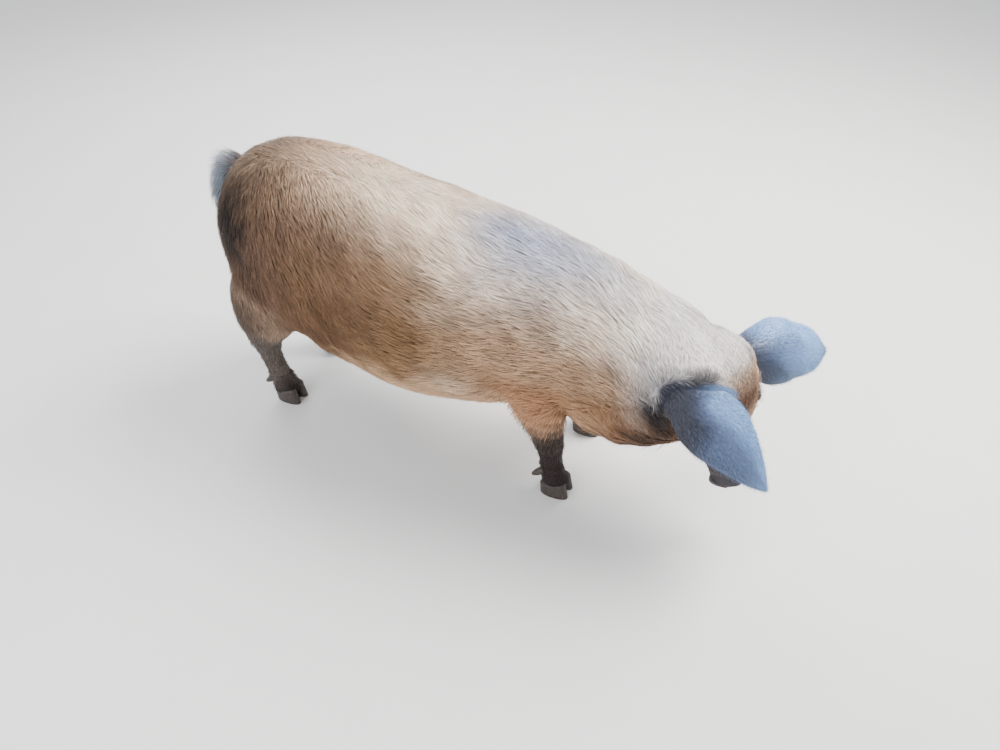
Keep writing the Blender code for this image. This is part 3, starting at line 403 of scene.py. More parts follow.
# Lamps: name, place, what it points at, width in metres, colour.
LAMPS = [
    ("key", (1.3, 1.2, 2.6), (0.1, 0.0, 0.4), 1.8, "#FFFFFF"),
    ("fill", (-0.8, -2.4, 1.9), (0.0, 0.0, 0.4), 2.4, "#F4F7FF"),
    ("back", (-1.6, 1.6, 2.2), (0.0, 0.0, 0.4), 2.0, "#F4F7FF"),
]

# The camera, as it looked down on the animal.
CAMERA_PLACE = (0.7602, -1.2430, 1.5)
CAMERA_RIGHT = (0.90996, 0.41469, 0.0)
CAMERA_AHEAD = (-0.3013, 0.6612, -0.6871)
CAMERA_LENS = 27.72

# Markings laid on the coat one after the other, from the widest to the smallest: paint, share, and further
# shares that it is multiplied by. A further share is the name of a measure; or a measure with where it
# starts and ends to fade in, and how much of the ragged waves it takes in; or a measure with the middle and
# the width of a bell.
BODY_MARKINGS = [
    # The trunk: fawn above, cream on the back and shoulder, brown rump and ham with a dark rear edge.
    # Fawn above and cream on the back and shoulder are partly the hair's colour and partly painted light on
    # the upper side.
    ("fawn", 0.9, ("high", 0.15, 0.75, 1.0)),
    ("cream", 0.97, ("mantle", 0.60, 1.02, 0.4), ("x", -0.37, 0.01)),
    ("rump_brown", 0.85, ("back", 0.19, 0.38, 0.4), ("high", 0.45, 0.8)),
    ("flank_brown", 0.55, ("x", -0.10, 0.14, "bell"), ("high", 0.20, 0.25, "bell")),
    ("flank_brown", 0.70, ("x", -0.13, 0.14, "bell"), ("high", 0.76, 0.17, "bell"), ("high", 0.98, 0.88)),
    # Brown on the ham: partly the hair's colour, partly painted shade where the ham turns away from the
    # light.
    ("ham_brown", 0.85, ("back", 0.17, 0.31, 0.3), ("high", 0.95, 0.60)),
    ("ham_pale", 0.95, ("back", 0.26, 0.32), ("high", 0.05, -0.30, 1.0)),
    # A dark rear edge: painted shade where the buttocks turn away from the light.
    ("edge_brown", 0.93, ("back", 0.295, 0.380, 0.3), ("high", 0.93, 0.70), "rim"),
    # A painted shadow on the buttocks round the tail's root.
    ("edge_brown", 0.60, ("back", 0.26, 0.38, 0.3), ("high", 0.85, 0.10, "bell")),
    # Brown over the rear face, which softens the painted shade there.
    ("ham_brown", 0.25, ("back", 0.42, 0.47, 0.2)),
    ("flank_brown", 0.75, ("x", -0.17, 0.08, "bell"), ("high", -0.25, 0.25, "bell")),
    # Belly and elbow, orange where the light comes through the hair, and sandy lower shoulders.
    ("sand", 0.65, ("x", 0.08, 0.28), ("high", 0.18, 0.32, "bell")),
    ("belly_orange", 0.85, ("low", 0.25, 0.60, 1.0), ("x", -0.22, -0.08)),
    ("elbow_rust", 0.75, ("x", 0.36, 0.075, "bell"), ("high", 0.10, -0.35)),
    ("cream", 0.30, ("x", 0.165, 0.045, "bell"), ("high", 0.47, 0.10, "bell")),
    ("cream", 0.35, ("x", 0.185, 0.045, "bell"), ("high", -0.38, 0.16, "bell")),
    # A painted shadow behind the shoulder, in umber tan.
    ("umber_tan", 0.60, ("x", 0.355, 0.040, "bell"), ("high", 0.66, 0.15, "bell")),
    ("mud_grey", 0.5, ("low", 0.85, 1.05, 1.0)),
    # Bluish grey along the withers, partly grey hair, partly a painted cool highlight and the painted shade
    # of the spine's valley, with a thin dark line down the spine.
    ("pale_grey", 0.9, "withers", ("saddle", 0, 0.42, "bell")),
    ("slate", 0.35, "withers", ("spine", 0, 0.045, "bell")),
    # The legs, muddy below elbow and hock, the feet wet.
    ("mud_grey", 0.92, "leg", ("z", 0.31, 0.21, 0.10)),
    ("mud_dark", 0.95, "fore_leg", ("z", 0.30, 0.16, 0.2)),
    ("mud_dark", 0.95, "hind_leg", ("z", 0.10, 0.03, 0.2)),
    # The head: white nape, tan brow, brown between the eyes, grey cheeks, rust under the jowl, and brown
    # painted shade on its underside.
    # White on the nape's top: partly pale hair, partly painted light where the top takes the light.
    ("nape_white", 0.8, ("x", 0.48, 0.60), "top"),
    ("sand", 0.75, "face", ("c", -0.02, 0.06), ("a", -0.01, 0.05)),
    # Brown between the eyes: painted shade where the forehead curves down away from the light.
    ("flank_brown", 1.0, "face", ("a", 0.085, 0.050, "bell"), ("c", 0.040, 0.075)),
    ("cheek_grey", 0.85, ("a", 0.02, 0.06, "bell"), ("aside", 0.07, 0.12), ("x", 0.5, 0.6)),
    ("elbow_rust", 0.7, ("x", 0.45, 0.55), ("z", 0.40, 0.31, 0.2)),
    # Brown under the jowl: painted shade on its underside.
    ("ham_brown", 0.90, ("x", 0.45, 0.55), ("z", 0.40, 0.31, 0.2), ("z", 0.36, 0.26)),
]

# Mud on the muzzle and the snout's disc, over the folds under the ears; the ring round an eye, and dark
# bristles with painted shade round an ear's root; the hide of an ear, over slate, with painted light and
# shade;
# and the tail, with a painted shadow at its root and a pale tuft.
FACE_MARKINGS = [
    ("mud_grey", 0.8, "face", ("a", 0.13, 0.22, 0.1)),
    ("snout", 1.0, "face", ("a", 0.225, 0.262)),
]
RING_MARKINGS = [
    ("mud_grey", 0.8, ("eye", 0.040, 0.014)),
    # Dark bristles and painted shade round an ear's root, far more round the right ear than the left.
    ("slate_dark", 0.92, ("root", 0.038, 0.013, 0.04), "root_dark"),
]
HIDE_MARKINGS = [
    # Painted cool light: over the paler ear from root to tip, and on the edges and tips of both.
    ("slate_pale", 1.0, "pale", ("t", -0.1, 0.95)),
    ("slate_pale", 1.0, "light"),
    # Painted shade on the lower part of the ear and at one side of its root.
    ("slate_dark", 0.95, ("dusk", 0.42, 0.04), "deep"),
    ("slate_dark", 0.7, ("ragged_t", 0.13, 0.03), ("s", 0.4, 0.8)),
    # Painted shade at the tip of the paler ear.
    ("slate", 0.7, "pale", ("t", 0.74, 1.0)),
]
TAIL_MARKINGS = [
    # A painted shadow on the buttocks at the tail's root.
    ("edge_brown", 0.9, ("back", 0.43, 0.46), ("z", 0.565, 0.045, "bell"), ("y", 0, 0.06, "bell")),
    ("tail_pale", 0.95, "tail"),
]

# How the skin swells or sinks, in metres, times shares as in the markings.
SWELLS = [
    # The snout: a rim round the disc, a groove behind it, creases across the muzzle's top and sides, rims
    # round the nostrils and a furrow between them.
    (0.0022, ("a", 0.276, 0.0045, "bell")),
    (-0.0016, ("a", 0.262, 0.0040, "bell")),
    (0.0010, "creases", ("a", 0.165, 0.19), ("a", 0.255, 0.243), ("c", -0.012, 0.012)),
    (0.0016, "disc", ("left_hole", 0.0105, 0.0032, "bell")),
    (0.0016, "disc", ("right_hole", 0.0105, 0.0032, "bell")),
    (-0.0014, "disc", ("b", 0, 0.0045, "bell"), ("c", -0.03, 0.03)),
    # The lips on both sides of the mouth's line, and a dimple behind its corner.
    (0.0022, "lips", ("off_lips", 0.007, 0.0045, "bell")),
    (0.0020, "lips", ("off_lips", -0.007, 0.0045, "bell")),
    (-0.0026, ("off_corner", 0, 0.007, "bell")),
    # Long folds down the cheeks and over the jowl, where the fat hangs.
    (0.0022, "cheek_folds", "head", ("a", 0.17, 0.13), ("aside", 0.055, 0.085)),
    # Creases behind elbow and shoulder, before the ham, and rolls over the neck where it bends.
    (-0.0060, ("elbow", 0.262, 0.016, "bell"), ("beside", 0.10, 0.16), ("z", 0.47, 0.40)),
    (-0.0065, ("ham", -0.235, 0.018, "bell"), ("beside", 0.10, 0.16), ("z", 0.42, 0.34)),
    (0.0028, "neck_rolls", ("x", 0.50, 0.06, "bell")),
    # Fat that fills the bend between neck and poll.
    (0.010, ("off_bend", 0, 0.055, "bell")),
    # Slow swellings of muscle and fat under the hide.
    (0.0030, "body", "muscle"),
    (0.0008, "body", "fat"),
    # Knuckles, tendons and wrinkles of the lower legs.
    (0.0009, "shank", "wrinkles", ("z", 0.045, 0.07)),
    (0.0012, "shank", "tendons"),
]
EYE_SWELLS = [
    # Rings of loose skin round the eyes, and a brow over each.
    (0.0014, "near", "rings", ("far", 0.015, 0.019)),
    (0.0032, "near", ("far", 0.023, 0.007, "bell"), ("above", 0.004, 0.016)),
]
NECK_BEND = (0.620, 0.02, 0.50)


def linear(code):
    """The linear colour of an sRGB hex value: each channel's own power law, straight near black."""
    parts = np.array([int(code[k:k + 2], 16) / 255 for k in (1, 3, 5)])
    return np.where(parts <= 0.04045, parts / 12.92, ((parts + 0.055) / 1.055) ** 2.4)


def shade(code, name, description):
    """A colour that a user can change; its default is an sRGB hex value."""
    return FloatVectorProperty(
        name=name, description=description, default=linear(code), min=0.0, max=1.0, subtype="COLOR"
    )


def length(size, name, description):
    """A length that a user can change; its default is in metres."""
    return FloatProperty(
        name=name, description=description, default=size, min=0.0, precision=4, unit="LENGTH"
    )


def power(watts, name, description):
    """A lamp's power that a user can change; its default is in watts."""
    return FloatProperty(name=name, description=description, default=watts, min=0.0, unit="POWER")


class PIG_PG_colours(bpy.types.PropertyGroup):
    """Colours of coat, hide, horn, eyes and stage; some of the coat's and ears' colours hold painted light
    and shade
    """

    # Cream: partly the hair's colour, partly painted light along the top of the back and shoulder.
    cream: shade("#FFE5C9", "Cream", "Hair along the middle of the back")
    # Partly pale hair, partly painted light on the top of the nape.
    nape_white: shade("#F3EFEB", "Nape white", "Hair on the nape and behind the ears")
    # Partly grey hair, partly a painted cool highlight and the painted shade of the spine's valley.
    pale_grey: shade("#A5B0C5", "Pale grey", "Bluish hair along the withers")
    # Fawn: partly the hair's colour, partly painted light on the upper flank.
    fawn: shade("#B4906E", "Fawn", "Hair on the upper flank")
    sand: shade("#DCB592", "Sand", "Hair on the lower shoulder and the brow")
    # Umber tan: partly the hair's colour, partly painted shade on the lower flank; also the paint of the
    # painted shadow behind the shoulder.
    umber_tan: shade("#997550", "Umber tan", "Hair on the lower flank")
    belly_orange: shade("#D9B28B", "Belly orange", "Hair under the belly, lit through")
    elbow_rust: shade("#BC8660", "Elbow rust", "Hair at elbow and throat")
    rump_brown: shade("#826B57", "Rump brown", "Hair on top of the rump")
    # Ham brown: partly the hair's colour, partly painted shade on the ham; also the paint of the painted
    # shade under the jowl.
    ham_brown: shade("#7A5C49", "Ham brown", "Hair on the ham")
    ham_pale: shade("#B7987F", "Ham pale", "Hair low on the ham")
    # Painted shade along the buttocks' rear edge and round the tail's root.
    edge_brown: shade("#261E19", "Edge brown", "Hair along the buttocks")
    # Flank brown: hair between flank and ham, and the paint of the painted shade between the eyes.
    flank_brown: shade("#6C4D38", "Flank brown", "Hair between flank and ham")
    mud_grey: shade("#625850", "Mud grey", "Dried mud on legs and muzzle")
    mud_dark: shade("#241613", "Mud dark", "Wet mud on the feet")
    # Partly dark hair, partly the painted shadow of the ear in the fold under it.
    jowl_hair_and_shade: shade("#3A2B23", "Jowl dark", "Hair in the fold under the ear")
    cheek_grey: shade("#B4AEAE", "Cheek grey", "Hair on the cheek")
    slate: shade("#515B79", "Slate", "Hide of the ears")
    # Painted cool light on the ears' edges and tips, and over the left ear.
    slate_pale: shade("#80AADB", "Pale slate", "Hide of the ears towards their tips")
    # Dark slate of the bristles round the ears' roots, and painted shade on the ears and round their roots.
    slate_dark: shade("#2C2B30", "Dark slate", "Bristles round the roots of the ears")
    snout: shade("#332E30", "Snout", "Wet hide of the snout's disc")
    tail_pale: shade("#929AA3", "Tail tuft", "Hair at the end of the tail")
    horn_dark: shade("#231E1B", "Dark horn", "Darker streaks of the hooves")
    horn_pale: shade("#463B33", "Pale horn", "Paler streaks of the hooves")
    pupil: shade("#050404", "Pupil", "Middle of the eyes")
    iris: shade("#3A2415", "Iris", "Ring round the pupils")
    iris_rim: shade("#160E09", "Iris rim", "Dark edge of the iris")
    eye_white: shade("#8A7468", "Eye white", "Ball of the eyes at the lids")
    floor: shade("#D8D5D0", "Floor", "Paint of the studio floor")
    air: shade("#E8EDF4", "Air", "Light from all round")


class PIG_PG_sizes(bpy.types.PropertyGroup):
    """Sizes of hair, skin, eyes and stage"""

    body_hair: length(0.038, "Body hair", "Length of the tufts on the trunk")
    leg_hair: length(0.024, "Leg hair", "Length of the tufts high on the legs")
    cheek_hair: length(0.024, "Cheek hair", "Length of the tufts on the cheeks")
    ear_hair: length(0.011, "Ear hair", "Length of the tufts on the ears")
    tail_hair: length(0.042, "Tail hair", "Length of the tufts on the tail")
    coat_depth: length(0.0108, "Coat depth", "Height of the tufts' ends over the skin of the trunk")
    tuft_width: length(0.00145, "Tuft width", "Width of the tufts on the trunk")
    lash: length(0.013, "Lashes", "Length of the lashes on the upper lids")
    eye_radius: length(0.0125, "Eye radius", "Radius of the eyeballs")
    skin_grid: length(0.0028, "Skin grid", "Grid on which the body's forms are fused into one skin")
    floor_width: length(14.0, "Floor width", "Width of the studio floor")
    tufts: FloatProperty(
        name="Tufts", description="Share of the full number of tufts",
        default=1.0, min=0.05, max=1.0, subtype="FACTOR",
    )
    seed: IntProperty(name="Seed", description="Start of the random draws for the tufts", default=41, min=0)
    key_lamp: power(245.0, "Key lamp", "Power of the lamp from ahead and left")
    fill_lamp: power(80.0, "Fill lamp", "Power of the wide lamp from the right")
    back_lamp: power(72.0, "Back lamp", "Power of the lamp from behind")
    air: FloatProperty(name="Air", description="Strength of the light from all round", default=1.36, min=0.0)


def frame_shift():
    """How the pig's own directions lie in the frame: from the rear cut, and from the fore hooves' middle."""
    rear_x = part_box("torso_middle")[0].x
    left_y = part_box("hoof_fore_left_outer")[1].y
    right_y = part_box("hoof_fore_right_outer")[0].y
    return np.array([rear_x - REAR_CUT_X - GAP / 2, (left_y + right_y) / 2, 0.0])


SHIFT = frame_shift()


def turned_axes(yaw, pitch):
    """Unit vectors ahead, to the left and up, turned by a yaw and tilted down by a pitch."""
    ahead = np.stack([np.cos(yaw) * np.cos(pitch), np.sin(yaw) * np.cos(pitch), -np.sin(pitch)], axis=-1)
    left = np.stack([-np.sin(yaw), np.cos(yaw), 0 * yaw], axis=-1)
    return ahead, left, np.cross(ahead, left)


# The head's own directions: down the face, to the pig's left, and out of the brow.
DOWN, LEFT, BROW = turned_axes(HEAD_YAW, HEAD_PITCH)


def head_point(along, left, brow):
    """Places given down the face from the poll, to the left and out of the brow, as numbers or arrays."""
    ways = zip((along, left, brow), (DOWN, LEFT, BROW))
    return POLL + sum(np.multiply.outer(far, way) for far, way in ways)


def in_head(place):
    """How far places lie down the face, to the left and out of the brow: offsets along the head's axes."""
    apart = place - POLL
    return apart @ DOWN, apart @ LEFT, apart @ BROW


def unit(vectors):
    """Vectors over their own length."""
    return vectors / np.maximum(np.linalg.norm(vectors, axis=-1, keepdims=True), 1e-12)


def dot(one, other):
    """The sum of products of two rows of vectors, with its axis kept."""
    return (one * other).sum(axis=-1, keepdims=True)


def fade(values, start, end):
    """0 before start, 1 past end, and the smooth curve t2 (3 - 2t) of the share t of the way between.

    With an end below the start it falls from 1 to 0 as the values grow.
    """
    share = np.clip((values - start) / (end - start), 0, 1)
    return share * share * (3 - 2 * share)


def bell(values, width):
    """A bell curve, e to the minus half of the square of values over width."""
    return np.exp(-0.5 * (values / width) ** 2)


def product(amount, factors, measures):
    """An amount times shares: measures by name, bells round a middle, and fades of a measure and waves."""
    for factor in factors:
        if isinstance(factor, str):
            amount = amount * measures[factor]
            continue
        name, start, end, *more = factor
        if more == ["bell"]:
            amount = amount * bell(measures[name] - start, end)
        elif more:
            amount = amount * fade(measures[name] + more[0] * measures["ragged"], start, end)
        else:
            amount = amount * fade(measures[name], start, end)
    return amount


def waves(place, size, seed):
    """Smooth random waves, mostly within -1 and 1: twice the mean of six sines along random lines."""
    chance = np.random.default_rng(seed)
    lines = unit(chance.normal(size=(6, 3))) * (2 * np.pi / size) * chance.uniform(0.6, 1.5, (6, 1))
    return np.sin(place @ lines.T + chance.uniform(0, 2 * np.pi, 6)).mean(axis=-1) * 2


def smooth_rows(stations, steps):
    """Rows on a Catmull-Rom curve through the stations a, b, c, d, in steps between each two.

    A share t of the way from b to c: half of 2b + (c - a) t + (2a - 5b + 4c - d) t2 + (3b - a - 3c + d) t3.
    """
    rows = np.array(stations, float)
    ends = np.vstack([2 * rows[0] - rows[1], rows, 2 * rows[-1] - rows[-2]])
    a, b, c, d = (ends[k:len(ends) - 3 + k][:, None] for k in range(4))
    t = (np.arange(steps) / steps)[None, :, None]
    read = (2 * b + (c - a) * t + (2 * a - 5 * b + 4 * c - d) * t**2 + (3 * b - a - 3 * c + d) * t**3) / 2
    return np.vstack([read.reshape(-1, rows.shape[1]), rows[-1:]])


def ring_grid(centres, sides, ups, width, above, below, squareness, count):
    """Superellipses round a row of centres.

    At a turn a, a ring reaches width |cos a|^(2/n) to the side, and above or below |sin a|^(2/n) upwards.
    """
    turn = np.linspace(0, 2 * np.pi, count, endpoint=False)
    exponent = 2 / np.broadcast_to(squareness, len(centres))[:, None]
    across = np.asarray(width)[:, None] * np.sign(np.cos(turn)) * np.abs(np.cos(turn)) ** exponent
    reach = np.where(np.sin(turn) > 0, np.asarray(above)[:, None], np.asarray(below)[:, None])
    rise = reach * np.sign(np.sin(turn)) * np.abs(np.sin(turn)) ** exponent
    sides, ups = (np.broadcast_to(axis, centres.shape)[:, None] for axis in (sides, ups))
    return centres[:, None] + across[..., None] * sides + rise[..., None] * ups


def volume(points, faces):
    """The volume that faces enclose: a sixth of the sum of a . (b x c) over their triangles."""
    total = 0.0
    for group in faces:
        for k in range(1, group.shape[1] - 1):
            a, b, c = points[group[:, 0]], points[group[:, k]], points[group[:, k + 1]]
            total += (a * np.cross(b, c)).sum() / 6
    return total


def outwards(points, faces):
    """The same shape with its faces turned out."""
    return points, faces if volume(points, faces) > 0 else [group[:, ::-1] for group in faces]


def closed_tube(grid):
    """A closed skin through rings of points, with a fan of triangles round the middle of each end."""
    rows, count, _ = grid.shape
    index = np.arange(rows * count).reshape(rows, count)
    beside = np.roll(index, -1, axis=1)
    sides = np.stack([index[:-1], beside[:-1], beside[1:], index[1:]], axis=-1).reshape(-1, 4)
    start = np.stack([beside[0], index[0], np.full(count, rows * count)], axis=-1)
    end = np.stack([index[-1], beside[-1], np.full(count, rows * count + 1)], axis=-1)
    points = np.vstack([grid.reshape(-1, 3), grid[0].mean(0), grid[-1].mean(0)])
    return outwards(points, [sides, start, end])


def closed_ring(grid):
    """A closed skin round a ring of sections, the last joined to the first."""
    rows, count, _ = grid.shape
    index = np.arange(rows * count).reshape(rows, count)
    beside, ahead = np.roll(index, -1, axis=1), np.roll(index, -1, axis=0)
    faces = np.stack([index, beside, np.roll(beside, -1, axis=0), ahead], axis=-1).reshape(-1, 4)
    return outwards(grid.reshape(-1, 3), [faces])


def joined(shapes):
    """Several shapes as one: their points stacked and their faces renumbered."""
    starts = np.cumsum([0] + [len(points) for points, _ in shapes])
    faces = [group + start for (_, groups), start in zip(shapes, starts) for group in groups]
    return np.vstack([points for points, _ in shapes]), faces


def mesh_object(name, points, faces):
    """An object whose mesh holds faces and points, moved from the pig's own directions to the frame."""
    mesh = bpy.data.meshes.new(name)
    indices = np.concatenate([group.ravel() for group in faces]).astype(np.int32)
    sizes = np.concatenate([np.full(len(group), group.shape[1]) for group in faces])
    mesh.vertices.add(len(points))
    mesh.vertices.foreach_set("co", (points + SHIFT).astype(np.float32).ravel())
    mesh.loops.add(len(indices))
    mesh.loops.foreach_set("vertex_index", indices)
    mesh.polygons.add(len(sizes))
    mesh.polygons.foreach_set("loop_start", (np.cumsum(sizes) - sizes).astype(np.int32))
    mesh.update(calc_edges=True)
    mesh.shade_smooth()
    made = bpy.data.objects.new(name, mesh)
    bpy.context.scene.collection.objects.link(made)
    return made


def apply_modifiers(made):
    """Puts the object's evaluated mesh in the place of its own."""
    bpy.context.view_layer.update()
    graph = bpy.context.evaluated_depsgraph_get()
    mesh = bpy.data.meshes.new_from_object(made.evaluated_get(graph))
    made.modifiers.clear()
    made.data = mesh


def read_points(made):
    """The places and the ways out of a mesh's points, in the pig's own directions."""
    count = len(made.data.vertices)
    places, normals = np.empty(count * 3, np.float32), np.empty(count * 3, np.float32)
    made.data.vertices.foreach_get("co", places)
    made.data.vertex_normals.foreach_get("vector", normals)
    return places.reshape(-1, 3).astype(float) - SHIFT, normals.reshape(-1, 3).astype(float)


def write_points(made, places):
    """Moves a mesh's points to places in the pig's own directions."""
    made.data.vertices.foreach_set("co", (places + SHIFT).astype(np.float32).ravel())
    made.data.update()


def corner_points(mesh):
    """The number of the point at each corner of a mesh's faces."""
    numbers = np.empty(len(mesh.loops), np.int32)
    mesh.loops.foreach_get("vertex_index", numbers)
    return numbers


def combine(made, tools, operation):
    """Adds closed tools to an object, or takes them away, and removes the tools."""
    group = bpy.data.collections.new("tools")
    bpy.context.scene.collection.children.link(group)
    for tool in tools:
        bpy.context.scene.collection.objects.unlink(tool)
        group.objects.link(tool)
    step = made.modifiers.new("combine", "BOOLEAN")
    step.operation = operation
    step.operand_type = "COLLECTION"
    step.collection = group
    step.solver = "MANIFOLD"
    apply_modifiers(made)
    for tool in tools:
        bpy.data.objects.remove(tool, do_unlink=True)
    bpy.data.collections.remove(group)


def trunk_frame(x):
    """Centre, way ahead, side and upward axis of the trunk, read at each x between its stations."""
    table = np.array(TRUNK, float)
    y, z, yaw, pitch = (np.interp(x, table[:, 0], table[:, k]) for k in range(1, 5))
    return np.stack([x, y, z], axis=-1), *turned_axes(np.radians(yaw), np.radians(pitch))


def trunk_shape():
    """The trunk and neck: rings across the yaw and pitch of each station."""
    steps, count = FINENESS["trunk"]
    rows = smooth_rows(TRUNK, steps)
    _, side, up = turned_axes(np.radians(rows[:, 3]), np.radians(rows[:, 4]))
    return closed_tube(ring_grid(rows[:, :3], side, up, *(rows[:, 5:8].T - DEPTH_TRUNK), rows[:, 8], count))


def jowl_shape():
    """The jowl: upright ovals from the throat to the jaw, set in from the outline but on top."""
    steps, count = FINENESS["jowl"]
    rows = smooth_rows(JOWL, steps)
    width, above, below = rows[:, 3] - DEPTH_HEAD, rows[:, 4], rows[:, 5] - DEPTH_HEAD
    return closed_tube(ring_grid(rows[:, :3], LEFT, np.array([0.0, 0.0, 1.0]), width, above, below, 2, count))


def face_shape(stations):
    """The head or its lower jaw: rings across the line down the face."""
    steps, count = FINENESS["face"]
    rows = smooth_rows(stations, steps)
    centres = head_point(rows[:, 0], 0 * rows[:, 0], rows[:, 1])
    return closed_tube(ring_grid(centres, LEFT, BROW, *(rows[:, 2:5].T - DEPTH_HEAD), rows[:, 5], count))


def leg_shape(stations, side_sign):
    """A leg: level rings of one squareness down its stations, on the right for 1 and on the left for -1."""
    steps, count = FINENESS["leg"]
    rows = smooth_rows(stations, steps)
    centres = rows[:, :3] * [1, side_sign, 1]
    return closed_tube(ring_grid(centres, *LEVEL_AXES, *(rows[:, 3:6].T - DEPTH_LEG), LEG_SQUARENESS, count))


def tail_rows():
    """The smooth line down the tail, with its radius."""
    return smooth_rows(TAIL, FINENESS["tail"][0])


def tail_shape():
    """A round rod: rings across the line through the stations, square to its way ahead."""
    rows = tail_rows()
    ahead = unit(np.gradient(rows[:, :3], axis=0))
    side = unit(np.cross(ahead, TAIL_ACROSS))
    reach = 3 * [rows[:, 3] - DEPTH_TAIL]
    return closed_tube(ring_grid(rows[:, :3], side, np.cross(ahead, side), *reach, 2, FINENESS["tail"][1]))


def ear_frame(name, t):
    """Midline, width axis and way out of an ear at shares t of its length.

    The midline is root + t span + arch sin(pi t) face + bow sin(pi t) across, and its axes turn with t.
    """
    root, tip, facing, arch, bow, twist, _ = EARS[name]
    root = head_point(*root)
    span = np.array(tip) - root
    facing = np.array(facing)
    face = unit(facing - (facing @ span) / (span @ span) * span)
    across = unit(np.cross(face, span))
    swing = np.sin(np.pi * t)[..., None]
    middle = root + t[..., None] * span + swing * (arch * face + bow * across)
    ahead = unit(span + arch * np.pi * np.cos(np.pi * t)[..., None] * face)
    out = unit(face - dot(ahead, face) * ahead)
    wide = np.cross(out, ahead)
    turn = np.radians(twist * (t - EAR_TWIST_FROM))[..., None]
    return middle, np.cos(turn) * wide + np.sin(turn) * out, np.cos(turn) * out - np.sin(turn) * wide


def ear_cup(name, t, profile):
    """The depth of an ear's cup at shares t of its length, flatter towards the root by that ear's share."""
    return np.interp(t, profile[:, 0], profile[:, 2]) * (1 - (1 - EAR_ROOT_CUP[name]) * fade(t, 0.45, 0.10))


def ear_half(name, t, profile):
    """Half the width of an ear at shares t of its length, fuller towards the tip by that ear's share."""
    plain = np.interp(t, profile[:, 0], profile[:, 1])
    return EARS[name][-1] * plain * (1 + EAR_FULLNESS[name] * fade(t, 0.55, 0.95))


def ear_surface(name, t, s, side):
    """A place on an ear: t from root to tip, s from edge to edge, side 1 on the back and -1 inside.

    It is the midline + half width s wide - (cup s2 - side half thickness) out. Half the thickness is
    half of edge sqrt(1 - s8) + (thickness - edge)(1 - s2), with ridges inside and flutes at the root.
    """
    middle, wide, out = ear_frame(name, t)
    profile = smooth_rows(EAR, 8)
    half = ear_half(name, t, profile) * (1 + EAR_ROOT_NARROWING * np.minimum(t, 0))
    half *= 1 + EAR_WAVE * np.sin(EAR_WAVE_TURNS * t) * fade(t, 0.2, 0.5)
    cup = ear_cup(name, t, profile)
    thick = EAR_THICKNESS * (1 - EAR_THINNING * np.maximum(t, 0))
    skin = (EAR_EDGE * np.sqrt(1 - s**8) + (thick - EAR_EDGE) * (1 - s**2)) / 2
    ridges = sum(bell(s - place, 0.07) for place in EAR_RIDGES)
    skin = skin + np.where(side < 0, EAR_RIDGE * ridges * fade(t, 0.02, 0.15) * fade(t, 0.85, 0.5), 0)
    skin = skin + EAR_FLUTE * np.cos(EAR_FLUTES * np.pi * s) * (1 - s**2) * fade(t, 0.32, 0.05)
    skin = skin + EAR_ROLL * bell(np.abs(s) - 0.93, 0.045) * (1 - s**8) * fade(t, 0.05, 0.2)
    lift = (cup * s**2 - side * skin)[..., None]
    return middle + (half * s)[..., None] * wide - lift * out


def ear_shape(name):
    """An ear, closed: rows along it, drawn together at the tip, of points round its back and inside."""
    t = np.concatenate([[-EAR_ROOT_DEPTH, -EAR_ROOT_DEPTH / 2], 1 - np.linspace(1, 0, EAR_ROWS) ** 1.25])
    turn = np.linspace(0, 2 * np.pi, EAR_COLUMNS, endpoint=False)
    t, turn = np.meshgrid(t, turn, indexing="ij")
    side = np.where(turn < np.pi, 1, -1)
    return closed_tube(ear_surface(name, t, -np.cos(turn), side))


def eye_axes(name):
    """The centre of an eye, the way out through it, the line along its lids, and the way up across them."""
    low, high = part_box(f"eye_{name}")
    centre = (np.array(low) + np.array(high)) / 2 - SHIFT
    side = 1 if name == "left" else -1
    out = unit(EYE_TOWARDS[0] * DOWN + side * EYE_TOWARDS[1] * LEFT + EYE_TOWARDS[2] * BROW)
    along = unit(DOWN - (DOWN @ out) * out)
    return centre, out, along, np.cross(out, along) * -side


def from_eye(name, place):
    """How far places lie from the centre of an eye."""
    return np.linalg.norm(place - eye_axes(name)[0], axis=1)


def lid_shape(name):
    """A soft rim round the eye: ovals of about 3 mm carried round an almond, thickest over its top."""
    centre, out, along, up = eye_axes(name)
    turn = np.linspace(0, 2 * np.pi, 72, endpoint=False)
    corner = np.abs(np.cos(turn)) ** 3
    way = np.cos(turn)[:, None] * along * LID_HALF_LENGTH + np.sin(turn)[:, None] * up * LID_HALF_HEIGHT
    rise = EYE_SUNK + LID_PROUD - LID_DIP * corner
    middle = centre + way + rise[:, None] * out
    upper = fade(np.sin(turn), -0.2, 0.8)
    wide, high = (LID_THICKNESS * (rim + top * upper - ends * corner) for rim, top, ends in LID_SHARES)
    return closed_ring(ring_grid(middle, unit(way), out, wide, high, 2.4 * wide, 2, 18))


def mouth_shape():
    """The open line of the lips: a thin wedge across the head that sags between its corner and its front."""
    t = np.linspace(0, 1, 14)
    along, lift, half = (np.interp(t, [0, 1], [MOUTH_CORNER[k], MOUTH_FRONT[k]]) for k in range(3))
    lift = lift - MOUTH_SAG * np.sin(np.pi * t)
    signs = [(1, 1), (-1, 1), (-1, -1), (1, -1)]
    rings = [head_point(along, MOUTH_HALF_WIDTH * wide + 0 * t, lift + half * high) for wide, high in signs]
    return closed_tube(np.stack(rings, axis=1))


